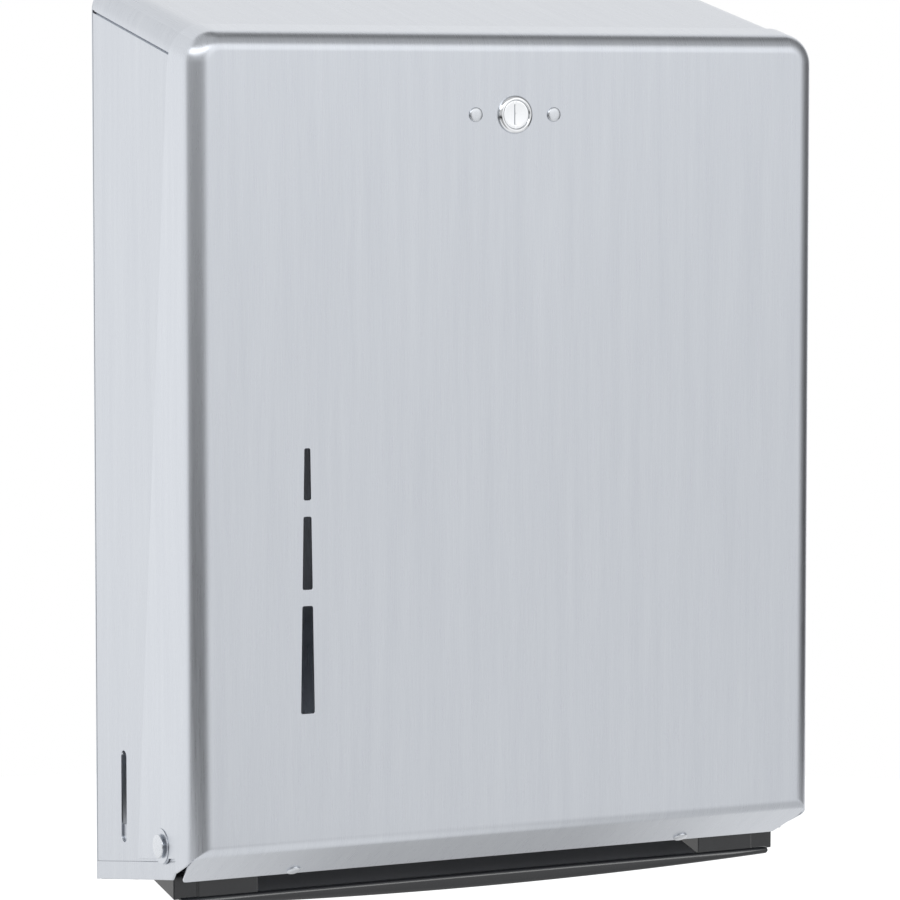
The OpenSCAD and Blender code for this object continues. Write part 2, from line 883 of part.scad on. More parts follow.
module towel_guide() {
    rail_front_d = guide_front_d - rail_proud;
    bead_r = rail_t / 2;
    shelf_start_d = rail_front_d + bead_r;
    shelf_start_h = shelf_front_h - rail_step;
    shelf_rear_d = guide_front_d + shelf_d;
    shelf_rear_h = shelf_start_h + (shelf_rear_d - shelf_start_d) * tan(shelf_slope);
    color(black) {
        guide_block();
        mirror([1, 0, 0])
            guide_block();
        // Bowed rail with a round lower edge and a straight top
        intersection() {
            translate([0, rail_front_d + bead_r - depth, crease_z + bow_r - guide_drop - rail_bow])
                rotate([90, 0, 0])
                    rotate([0, 0, -90 - bow_angle])
                        rotate_extrude(angle = 2 * bow_angle, $fn = bow_steps)
                            translate([bow_r - bead_r, 0])
                                rail_section(rail_h + rail_bow, bead_r);
            from_to(0, depth)
                translate([-rail_half, shelf_front_h - pan_foot])
                    square([2 * rail_half, pan_foot]);
        }
        // Shelf behind the rail, rising to a round rear edge
        across(2 * block_in + guide_wall) {
            polygon([
                [shelf_start_d, shelf_start_h],
                [shelf_rear_d, shelf_rear_h],
                [shelf_rear_d, shelf_rear_h - guide_wall],
                [shelf_start_d, shelf_start_h - guide_wall]
            ]);
            translate([shelf_rear_d, shelf_rear_h - guide_wall / 2])
                circle(d = guide_wall);
        }
    }
}

module guide_rivets() {
    color(steel)
        for (side = [-1, 1])
            on_lip(side * guide_rivet_x, lip_len - guide_rivet_inset)
                rivet(sheet_t + tab_t + guide_washer_t);
}

module guide_washers() {
    color(steel)
        for (side = [-1, 1])
            on_lip(side * guide_rivet_x, lip_len - guide_rivet_inset)
                translate([0, 0, sheet_t + tab_t])
                    ring(guide_washer_d / 2, rivet_r + set_fit, guide_washer_t);
}

module lock_plate() {
    color(steel)
        at_lock()
            translate([0, 0, sheet_t])
                difference() {
                    linear_extrude(lock_plate_t)
                        difference() {
                            union() {
                                circle(d = lock_plate_h);
                                for (side = [-1, 1])
                                    translate([side * lock_rivet_x, 0])
                                        circle(d = lock_plate_h / 2);
                                translate([-lock_rivet_x, -lock_plate_h / 4])
                                    square([2 * lock_rivet_x, lock_plate_h / 2]);
                            }
                            circle(barrel_r + set_fit);
                        }
                    for (side = [-1, 1])
                        translate([side * lock_rivet_x, 0, -over])
                            cylinder(r = rivet_r + set_fit, h = lock_plate_t + 2 * over);
                }
}

module lock_rivets() {
    color(steel)
        for (side = [-1, 1])
            at_lock(side * lock_rivet_x)
                rivet(sheet_t + lock_plate_t);
}

module lock_barrel() {
    disc_rear_d = disc_front_d + plug_disc_h;
    round_d = ring_round - ring_h;
    color(chrome)
        at_lock()
            rotate_extrude()
                difference() {
                    union() {
                        translate([0, -ring_h])
                            square([ring_d / 2 - ring_round, ring_h]);
                        translate([0, round_d])
                            square([ring_d / 2, -round_d]);
                        translate([ring_d / 2 - ring_round, round_d])
                            circle(ring_round);
                        square([barrel_r, barrel_rear_d]);
                    }
                    translate([0, -ring_h - over])
                        square([plug_disc_d / 2 + run_fit, disc_rear_d + ring_h + over + run_fit]);
                    square([plug_d / 2 + run_fit, barrel_rear_d + over]);
                    translate([-2 * ring_d, -2 * ring_d])
                        square([2 * ring_d, 4 * ring_d]);
                    translate([barrel_r, 0])
                        square(2 * ring_d);
                    translate([barrel_r - clip_groove, clip_front_d])
                        square([clip_groove + over, clip_t + set_fit]);
                }
}

module lock_clip() {
    gap = 2 * (barrel_r - clip_groove);
    color(steel)
        at_lock()
            translate([0, 0, clip_front_d])
                difference() {
                    ring(clip_d / 2, barrel_r - clip_groove + set_fit, clip_t);
                    translate([-gap / 2, 0, -over])
                        cube([gap, clip_d, clip_t + 2 * over]);
                }
}

module lock_plug() {
    color(chrome)
        at_lock()
            difference() {
                union() {
                    translate([0, 0, disc_front_d])
                        cylinder(d = plug_disc_d, h = plug_disc_h);
                    translate([0, 0, disc_front_d])
                        cylinder(d = plug_d, h = cam_front_d - disc_front_d);
                    translate([-drive_w / 2, -drive_w / 2, 0])
                        cube([drive_w, drive_w, cam_rear_d - set_fit]);
                }
                translate([-key_slit_off - key_slit_w / 2, -key_slit_h / 2, disc_front_d - over])
                    cube([key_slit_w, key_slit_h, key_slit_d + over]);
                translate([0, 0, cam_rear_d - cam_screw_len - set_fit])
                    cylinder(r = cam_screw_d / 2 + set_fit, h = cam_screw_len + over);
            }
}

module lock_cam() {
    drive = drive_w + 2 * set_fit;
    color(steel)
        at_lock()
            translate([0, 0, cam_front_d])
                linear_extrude(cam_t)
                    difference() {
                        union() {
                            circle(d = cam_hub_d);
                            translate([0, -cam_w / 2])
                                square([cam_len - cam_w / 2, cam_w]);
                            translate([cam_len - cam_w / 2, 0])
                                circle(d = cam_w);
                        }
                        translate([-drive / 2, -drive / 2])
                            square(drive);
                    }
}

module cam_washer() {
    color(steel)
        at_lock()
            translate([0, 0, cam_rear_d])
                ring(cam_washer_d / 2, cam_screw_d / 2 + set_fit, cam_washer_t);
}

module cam_screw() {
    head_d = cam_rear_d + cam_washer_t;
    color(steel)
        at_lock() {
            translate([0, 0, cam_rear_d - cam_screw_len])
                cylinder(d = cam_screw_d, h = cam_screw_len + cam_washer_t + over / 2);
            translate([0, 0, head_d])
                difference() {
                    dome(cam_screw_head_d, cam_screw_head_h);
                    translate([-cam_screw_head_d, -driver_slot_w / 2, cam_screw_head_h / 2])
                        cube([2 * cam_screw_head_d, driver_slot_w, cam_screw_head_h]);
                }
        }
}

back_panel();
left_side_panel();
right_side_panel();
top_panel();
latch_strike();
strike_rivets();
bottom_frame();
hinge_pins();
hinge_washers();
hinge_burrs();
front_cover();
towel_guide();
guide_rivets();
guide_washers();
lock_plate();
lock_rivets();
lock_barrel();
lock_clip();
lock_plug();
lock_cam();
cam_washer();
cam_screw();
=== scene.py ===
import bmesh
import bpy
import numpy as np
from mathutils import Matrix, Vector, geometry


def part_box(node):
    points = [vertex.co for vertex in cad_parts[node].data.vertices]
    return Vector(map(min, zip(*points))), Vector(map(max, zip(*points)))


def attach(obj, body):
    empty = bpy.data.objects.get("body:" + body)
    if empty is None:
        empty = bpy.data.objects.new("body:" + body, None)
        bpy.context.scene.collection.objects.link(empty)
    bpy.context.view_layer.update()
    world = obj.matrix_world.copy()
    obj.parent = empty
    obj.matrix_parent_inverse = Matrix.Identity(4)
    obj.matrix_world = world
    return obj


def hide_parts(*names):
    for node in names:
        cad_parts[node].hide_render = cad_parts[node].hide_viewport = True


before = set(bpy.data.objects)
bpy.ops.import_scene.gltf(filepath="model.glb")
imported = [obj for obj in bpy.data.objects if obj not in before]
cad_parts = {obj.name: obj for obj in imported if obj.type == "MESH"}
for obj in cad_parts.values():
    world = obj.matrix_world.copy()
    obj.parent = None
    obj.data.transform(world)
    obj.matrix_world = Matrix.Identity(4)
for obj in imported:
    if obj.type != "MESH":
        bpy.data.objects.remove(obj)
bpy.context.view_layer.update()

# Sizes that several pieces share, in millimetres and degrees
_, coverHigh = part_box("front_cover")
cabinet = {
    "depth": 102.0,          # wall to the cover's front face
    "halfWidth": 1000 * coverHigh.x,
    "creaseZ": -161.0,       # bottom crease of the front, from the wall screws' middle
    "frontHeight": 325.0,    # crease to the top edge of the front
    "topSlope": 13.2,
    "bottomSlope": 8.3,
    "sheet": 0.9,
    "coverGap": 0.3,         # cover to cabinet
    "cornerRadius": 13.0,    # top corners seen from the front
    "bend": 1.8,
    "frontEdge": 14.0,       # the cabinet's front behind the cover's face
    "seamDrop": 3.4,         # the side panels' foot below the crease, at the front
    "headerFoot": 303.5,
    "hingeDepth": 32.0,
    "hingeDrop": 1.6,
    "lockHeight": 293.0,
    "lockRivet": 18.0,       # rivets beside the lock, from its axis
    "lipSlope": 31.8,
    "lipLength": 27.5,
    "guideRivet": 91.0,      # rivets on the lip, from the middle
    "guideRivetAlong": 23.7,
    "rivetHole": 1.55,
    "plate": 1.2,            # thickness of the lock's plate and of the strike
}
topSlope = np.radians(cabinet["topSlope"])
lipSlope = np.radians(cabinet["lipSlope"])
bottomFall = np.tan(np.radians(cabinet["bottomSlope"]))
coverHalf, sheet, cornerRadius = cabinet["halfWidth"], cabinet["sheet"], cabinet["cornerRadius"]
inset = sheet + cabinet["coverGap"]
cabHalf = coverHalf - sheet - cabinet["coverGap"]
capRadius = cornerRadius - sheet - cabinet["coverGap"]
backDepth = cabinet["depth"] - sheet
bothSides = ((-1, "left"), (1, "right"))


def place(x, d, h):
    # width, depth behind the front and height above the crease, in mm, to the frame's metres
    x, d, h = np.broadcast_arrays(x, d, h)
    return np.stack([x, d - cabinet["depth"], h + cabinet["creaseZ"]], -1).reshape(-1, 3) / 1000


def topAt(d, drop):
    # height of a plane that lies a drop below the cover's sloping top
    return cabinet["frontHeight"] + d * np.tan(topSlope) - drop / np.cos(topSlope)


def seamAt(d):
    # height of the side panels' foot at a depth
    return -cabinet["seamDrop"] - d * bottomFall


# Mesh helpers


def gridQuads(rows, cols, wrap=False):
    # quads of a grid whose points run row after row; wrap joins the last column to the first
    i = np.arange(rows - 1)[:, None] * cols
    j = np.arange(cols if wrap else cols - 1)[None, :]
    k = (j + 1) % cols
    return np.stack([i + j, i + k, i + cols + k, i + cols + j], -1).reshape(-1, 4)


def gridPatch(x, d, h, wrap=False):
    # a surface of two parameters: arrays of equal shape, rows by columns
    x, d, h = np.broadcast_arrays(x, d, h)
    return place(x, d, h), gridQuads(*x.shape, wrap)


def barPatches(x, d, h):
    # closed sections, one to a row, joined along x, with a face at each end
    points, faces = gridPatch(x + 0 * d, d, h, wrap=True)
    count = np.arange(d.shape[1])
    return [(points, faces), (points, np.stack([count, len(points) - 1 - count]))]


def arc(cx, cy, radius, start, end, steps):
    # points of a circle's arc, angles in degrees
    a = np.radians(np.linspace(start, end, steps))
    return np.stack([cx + radius * np.cos(a), cy + radius * np.sin(a)], -1)


def ring(cx, cy, radius, steps=32):
    return arc(cx, cy, radius, 0, 360, steps + 1)[:-1]


def rivetHoles(x, y):
    # a rivet's hole on either side of the middle
    return [ring(side * x, y, cabinet["rivetHole"], 20) for side in (-1, 1)]


def upright(across, heights):
    # one upright line of points
    return np.stack([0 * heights + across, heights], -1)


def straight(start, end, step=8.0):
    # evenly spaced points from start to end, both kept
    start, end = np.asarray(start, float), np.asarray(end, float)
    count = max(2, int(np.ceil(np.linalg.norm(end - start) / step)) + 1)
    return start + (end - start) * np.linspace(0, 1, count)[:, None]


def zigzag(*corners, step=8.0):
    # straight runs from corner to corner
    return np.concatenate([straight(start, end, step) for start, end in zip(corners, corners[1:])])


def chain(*runs):
    # runs of points end to end as one closed outline, without doubled points
    points = np.concatenate([np.asarray(run, float).reshape(-1, 2) for run in runs])
    gap = np.linalg.norm(points - np.roll(points, 1, axis=0), axis=1)
    return points[gap > 1e-4]


def roundedOutline(corners, radius, steps=6):
    # a convex outline with its corners turned by one radius: an arc about each inset corner
    corners = np.asarray(corners, float)
    before = corners - np.roll(corners, 1, axis=0)
    after = np.roll(corners, -1, axis=0) - corners
    a0 = np.arctan2(before[:, 1], before[:, 0]) - np.pi / 2
    turn = (np.arctan2(after[:, 1], after[:, 0]) - np.pi / 2 - a0) % (2 * np.pi)
    half = turn / 2
    inward = np.stack([np.cos(a0 + half), np.sin(a0 + half)], -1)
    middle = corners - (radius / np.cos(half))[:, None] * inward
    angle = a0[:, None] + turn[:, None] * np.linspace(0, 1, steps)
    return (middle[:, None] + radius * np.stack([np.cos(angle), np.sin(angle)], -1)).reshape(-1, 2)


def isInside(points, loop):
    # even-odd test of points against a closed outline
    x, y = points[:, 0, None], points[:, 1, None]
    x0, y0 = loop.T
    x1, y1 = np.roll(loop, -1, axis=0).T
    crosses = (y0 > y) != (y1 > y)
    rise = np.where(y1 == y0, 1.0, y1 - y0)
    return (crosses & (x < x0 + (y - y0) * (x1 - x0) / rise)).sum(1) % 2 == 1


def flatSheet(outer, holes=(), net=12.0):
    # triangles of a flat sheet: Delaunay over the outline, its holes and a net of inner points
    loops = [outer, *holes]
    edgePoints = np.concatenate(loops)
    low, high = outer.min(0), outer.max(0)
    xs = np.arange(low[0] + net / 2, high[0], net)
    ys = np.arange(low[1] + net / 2, high[1], net)
    inner = np.stack(np.meshgrid(xs, ys), -1).reshape(-1, 2)
    clear = np.linalg.norm(inner[:, None] - edgePoints[None], axis=2).min(1) > net / 2
    inner = inner[clear & isInside(inner, outer)]
    for hole in holes:
        inner = inner[~isInside(inner, hole)]
    starts = np.cumsum([0] + [len(loop) for loop in loops])
    edges = [
        (int(start + i), int(start + (i + 1) % len(loop)))
        for start, loop in zip(starts, loops)
        for i in range(len(loop))
    ]
    spots = [Vector(p) for p in np.concatenate([edgePoints, inner])]
    points, _, faces, *_ = geometry.delaunay_2d_cdt(spots, edges, [], 0, 1e-5)
    points = np.array([tuple(p) for p in points])
    faces = np.array(faces)
    centres = points[faces].mean(1)
    legA, legB = points[faces[:, 1]] - points[faces[:, 0]], points[faces[:, 2]] - points[faces[:, 0]]
    twiceArea = np.abs(legA[:, 0] * legB[:, 1] - legA[:, 1] * legB[:, 0])
    keep = isInside(centres, outer) & (twiceArea > 1e-3)
    for hole in holes:
        keep &= ~isInside(centres, hole)
    return points, faces[keep]


def sheetPatch(put, outline, holes=(), net=12.0):
    # a flat sheet, put in place by a function of the two coordinates it is drawn in
    points, faces = flatSheet(outline, holes, net)
    return put(*points.T), faces


def addObject(name, data):
    obj = bpy.data.objects.new(name, data)
    bpy.context.scene.collection.objects.link(obj)
    return obj


def makePiece(name, patches, inside=None):
    # patches of points and faces as one welded mesh; inside is a point that the faces turn away from
    points = np.concatenate([p for p, f in patches])
    starts = np.cumsum([0] + [len(p) for p, f in patches])
    faces = [face for start, (p, f) in zip(starts, patches) for face in (np.asarray(f) + start).tolist()]
    mesh = bpy.data.meshes.new(name)
    mesh.from_pydata(points, [], faces)
    bm = bmesh.new()
    bm.from_mesh(mesh)
    bmesh.ops.remove_doubles(bm, verts=bm.verts, dist=2e-6)
    bmesh.ops.dissolve_degenerate(bm, edges=bm.edges, dist=1e-7)
    bmesh.ops.recalc_face_normals(bm, faces=bm.faces)
    bm.to_mesh(mesh)
    bm.free()
    if inside is not None:
        count = len(mesh.polygons)
        centre, normal, area = np.zeros(count * 3), np.zeros(count * 3), np.zeros(count)
        for key, values in (("center", centre), ("normal", normal), ("area", area)):
            mesh.polygons.foreach_get(key, values)
        outward = ((centre.reshape(-1, 3) - place(*inside)) * normal.reshape(-1, 3)).sum(1)
        if (outward * area).sum() < 0:
            mesh.flip_normals()
    return addObject(name, mesh)


def softened(node, name):
    # a welded copy of a CAD node, its flat faces joined again
    bm = bmesh.new()
    bm.from_mesh(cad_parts[node].data)
    bmesh.ops.remove_doubles(bm, verts=bm.verts, dist=2e-6)
    bmesh.ops.dissolve_limit(bm, angle_limit=np.radians(0.5), verts=bm.verts, edges=bm.edges)
    mesh = bpy.data.meshes.new(name)
    bm.to_mesh(mesh)
    bm.free()
    if "custom_normal" in mesh.attributes:
        mesh.attributes.remove(mesh.attributes["custom_normal"])
    return addObject(name, mesh)


def layGrain(mesh):
    # a UV map in metres, u across the brushing and v along it, by each face's main direction
    loops, count = len(mesh.loops), len(mesh.polygons)
    corner, total = np.zeros(loops, np.int32), np.zeros(count, np.int32)
    spot, normal = np.zeros(len(mesh.vertices) * 3), np.zeros(count * 3)
    mesh.loops.foreach_get("vertex_index", corner)
    mesh.polygons.foreach_get("loop_total", total)
    mesh.vertices.foreach_get("co", spot)
    mesh.polygons.foreach_get("normal", normal)
    x, y, z = spot.reshape(-1, 3)[corner].T
    nx, ny, nz = np.abs(np.repeat(normal.reshape(-1, 3), total, axis=0)).T
    facesSide = (nx > ny) & (nx > nz)
    uv = np.stack([np.where(facesSide, y, x), np.where(facesSide, z, z - y)], -1)
    layer = mesh.uv_layers.get("grain") or mesh.uv_layers.new(name="grain")
    layer.data.foreach_set("uv", uv.astype(np.float32).ravel())


def finishPiece(obj, material, body, nodes=(), wall=0.0, edge=0.0, segments=2):
    # wall thickness, broken edges, even normals, finish, and the body that the piece rides on
    mesh = obj.data
    mesh.polygons.foreach_set("use_smooth", np.ones(len(mesh.polygons), bool))
    mesh.set_sharp_from_angle(angle=np.radians(38))
    layGrain(mesh)
    if wall:
        solid = obj.modifiers.new("wall", "SOLIDIFY")
        solid.thickness = wall / 1000
        solid.offset = -1
        solid.use_even_offset = True
    if edge:
        bevel = obj.modifiers.new("edge", "BEVEL")
        bevel.width = edge / 1000
        bevel.segments = segments
        bevel.limit_method = "ANGLE"
        bevel.angle_limit = np.radians(35)
        bevel.use_clamp_overlap = False
    normals = obj.modifiers.new("normals", "WEIGHTED_NORMAL")
    normals.keep_sharp = True
    mesh.materials.clear()
    mesh.materials.append(material)
    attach(obj, body)
    if nodes:
        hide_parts(*nodes)
    return obj


# Materials


def linear(hexColour):
    # an sRGB hex colour as linear red, green, blue and alpha
    c = np.array([int(hexColour[i:i + 2], 16) for i in (1, 3, 5)]) / 255
    return (*np.where(c <= 0.04045, c / 12.92, ((c + 0.055) / 1.055) ** 2.4), 1.0)


def addNode(tree, kind, inputs=None, **settings):
    # a node with its settings; an input is a value or another node's output
    node = tree.nodes.new(kind)
    for key, value in settings.items():
        setattr(node, key, value)
    for key, value in (inputs or {}).items():
        if isinstance(value, bpy.types.NodeSocket):
            tree.links.new(value, node.inputs[key])
        else:
            node.inputs[key].default_value = value
    return node


def mathNode(tree, operation, *values):
    return addNode(tree, "ShaderNodeMath", dict(enumerate(values)), operation=operation).outputs[0]


def rangeNode(tree, value, span, before=0.0, after=1.0, kind="LINEAR"):
    # one level before the span's start, another after its end
    return addNode(tree, "ShaderNodeMapRange", {
        "Value": value, "From Min": span[0], "From Max": span[1], "To Min": before, "To Max": after},
        interpolation_type=kind).outputs[0]


def emptyTree(owner):
    owner.use_nodes = True
    owner.node_tree.nodes.clear()
    return owner.node_tree


def newMaterial(name, **constants):
    # a material with its constant values set on the shader
    material = bpy.data.materials.new(name)
    tree = emptyTree(material)
    shader = addNode(tree, "ShaderNodeBsdfPrincipled", constants)
    addNode(tree, "ShaderNodeOutputMaterial", {"Surface": shader.outputs[0]})
    return material, tree, shader


def dress(tree, shader, colour, height, roughness, relief):
    # the colour, and one height that drives the roughness and the relief (strength, depth in m)
    rough = rangeNode(tree, height, (0.3, 0.7), *roughness)
    bump = addNode(tree, "ShaderNodeBump", {"Strength": relief[0], "Distance": relief[1], "Height": height})
    for socket, source in (("Base Color", colour), ("Roughness", rough), ("Normal", bump.outputs[0])):
        tree.links.new(source, shader.inputs[socket])


def perMm(size):
    # noise scale, per metre, that gives features of a size in millimetres
    return 1000.0 / size


def brushedStainless(name, pale, deep):
    # 304 stainless sheet, belt-brushed up and down: pale blue-grey with fine upright hairlines,
    # reflections smeared sideways and kept sharper along the grain
    look = {"roughness": (0.27, 0.31), "anisotropy": 0.55, "relief": (0.03, 0.00003),
            "hair": (0.45, 18.0), "drift": (5.0, 120.0), "driftShare": 0.35}
    material, tree, shader = newMaterial(name, Metallic=1.0, Anisotropic=look["anisotropy"])
    grain = addNode(tree, "ShaderNodeUVMap", uv_map="grain").outputs[0]

    def streaks(size, detail):
        # noise drawn out along the grain, sizes across and along in mm
        stretch = addNode(tree, "ShaderNodeMapping", {
            "Vector": grain, "Scale": (perMm(size[0]), perMm(size[1]), 1.0)})
        return addNode(tree, "ShaderNodeTexNoise", {
            "Vector": stretch.outputs[0], "Scale": 1.0, "Detail": detail, "Roughness": 0.6},
            noise_dimensions="2D").outputs["Fac"]

    hair = streaks(look["hair"], 3.0)
    drift = streaks(look["drift"], 2.0)
    both = addNode(tree, "ShaderNodeMix", {
        "Factor": look["driftShare"], "A": hair, "B": drift}, data_type="FLOAT")
    colour = addNode(tree, "ShaderNodeValToRGB", {"Fac": both.outputs[0]})
    for element, position, tone in zip(colour.color_ramp.elements, (0.3, 0.7), (deep, pale)):
        element.position = position
        element.color = linear(tone)
    dress(tree, shader, colour.outputs[0], hair, look["roughness"], look["relief"])
    along = addNode(tree, "ShaderNodeTangent", direction_type="UV_MAP", uv_map="grain")
    tree.links.new(along.outputs[0], shader.inputs["Tangent"])
    return material


def plainFinish(name, pale, deep, roughness, grain, relief, drift=None, **constants):
    # a finish without direction: grain, a noise of a size in mm, a detail and a roughness, drives
    # gloss and relief, and the tone too where no slower drift is given
    material, tree, shader = newMaterial(name, **constants)
    spot = addNode(tree, "ShaderNodeTexCoord").outputs["Object"]

    def cloud(size, detail, rough):
        return addNode(tree, "ShaderNodeTexNoise", {
            "Vector": spot, "Scale": perMm(size), "Detail": detail, "Roughness": rough}).outputs["Fac"]

    fine = cloud(*grain)
    colour = addNode(tree, "ShaderNodeMix", {
        "Factor": cloud(*drift) if drift else fine, "A": linear(deep), "B": linear(pale)},
        data_type="RGBA")
    dress(tree, shader, colour.outputs[2], fine, roughness, relief)
    return material


def metalFinish(name, pale, deep, roughness, spotMm, relief):
    # a plain metal with slow drifts of tone and roughness, spots of a size in mm
    return plainFinish(
        name, pale, deep, roughness, (spotMm, 4.0, 0.55), (relief, 0.00005), Metallic=1.0)


def mouldedBlack(name, pale, deep, roughness):
    # black ABS, injection moulded against a stoned tool: faintly pebbled, with slow drifts of tone
    return plainFinish(
        name, pale, deep, roughness, (0.6, 3.0, 0.6), (0.06, 0.00003), (25.0, 2.0, 0.5), IOR=1.53)


# one brushed stainless in two copies: the cabinet's is painted a shade darker, as painted shade that sets
# the cover's flanges off from the panels behind them
stainless = brushedStainless("brushed 304 stainless, cover", "#d2d6dc", "#c9cdd4")
shadedCabinetStainless = brushedStainless("brushed 304 stainless, cabinet, painted shade", "#cdd1d7", "#c4c8cf")
# stainless rivets, barrel-polished: brighter and smoother than the sheet
polished = metalFinish("polished stainless rivet", "#dadde1", "#c9cdd3", (0.22, 0.3), 1.2, 0.03)
# chromed brass: almost a mirror
chrome = metalFinish("bright chromed brass", "#f3f5f7", "#eaecef", (0.04, 0.08), 3.0, 0.0)
# zinc-plated steel: cool grey, cloudy and a little dull
zinc = metalFinish("zinc-plated steel", "#bfc2c4", "#a3a6a8", (0.32, 0.46), 2.5, 0.08)
# as moulded: near black and half gloss
blackPlastic = mouldedBlack("moulded black ABS", "#1e1f21", "#17181a", (0.12, 0.2))
# where the towels run: the black painted a lighter grey, as painted light for the dim shelf, and duller
shelfPaintedLight = mouldedBlack("black ABS, painted lighter for the shelf", "#5c5d60", "#505154", (0.38, 0.5))
print("materials made:", len(bpy.data.materials))


# Cover: a drawn pan whose edges are rolled by one ball, with side flanges and a creased lip

cover = {
    "edgeRadius": 8.5,
    "topFlange": 17.5,       # rear edge of the top flange
    "flangeTop": 23.0,       # rear edge of the side flanges below the top corners
    "flangeFoot": 56.0,      # and at their foot
    "footDrop": 2.1,         # the flanges' foot below the crease, at the front
    "toe": (18.2, -10.7),    # rear end of the toe beside the lip, depth and foot
    "earRadius": 7.5,
    "pinHole": 2.55,
    "creaseRadius": (6.0, 0.8),  # along the front, and where the crease ends on the rolls
    "lipDrop": 1.2,          # the lip's plane below the sharp crease
    "lipHalf": (143.0, 139.4),  # half width where the lip leaves the roll, and at its rear edge
    "lipStraight": 10.5,     # length of the lip before it narrows
    "lipCorner": 2.0,
    "lockHole": 6.75,
    "slotX": -94.0,
    "slotFoot": 53.0,
    "slotHeights": (43.5, 29.4, 20.9),
    "slotBridge": 6.6,
    "slotWidths": (6.0, 2.5),  # at the lowest foot and the highest head
    "slotRadius": 0.7,
    "deburr": 0.12,
}


def lipAt(d):
    # height of the lip's plane at a depth
    return -cover["lipDrop"] - d * np.tan(lipSlope)


def onLip(x, along, lift=0.0):
    # a spot by width, distance along the lip from the crease and height above its outer face
    d = along * np.cos(lipSlope)
    return place(x, d + lift * np.sin(lipSlope), lipAt(d) + lift * np.cos(lipSlope))


def refillSlots():
    # three slots in line whose sides run on from one to the next, narrowing upwards
    x, heights, bridge = cover["slotX"], np.array(cover["slotHeights"]), cover["slotBridge"]
    feet = cover["slotFoot"] + np.concatenate([[0], np.cumsum(heights[:-1] + bridge)])
    head = feet[-1] + heights[-1]
    slots = []
    for foot, top in zip(feet, feet + heights):
        w0, w1 = np.interp([foot, top], [feet[0], head], cover["slotWidths"]) / 2
        corners = [(x - w0, foot), (x + w0, foot), (x + w1, top), (x - w1, top)]
        slots.append(roundedOutline(corners, cover["slotRadius"]))
    return slots


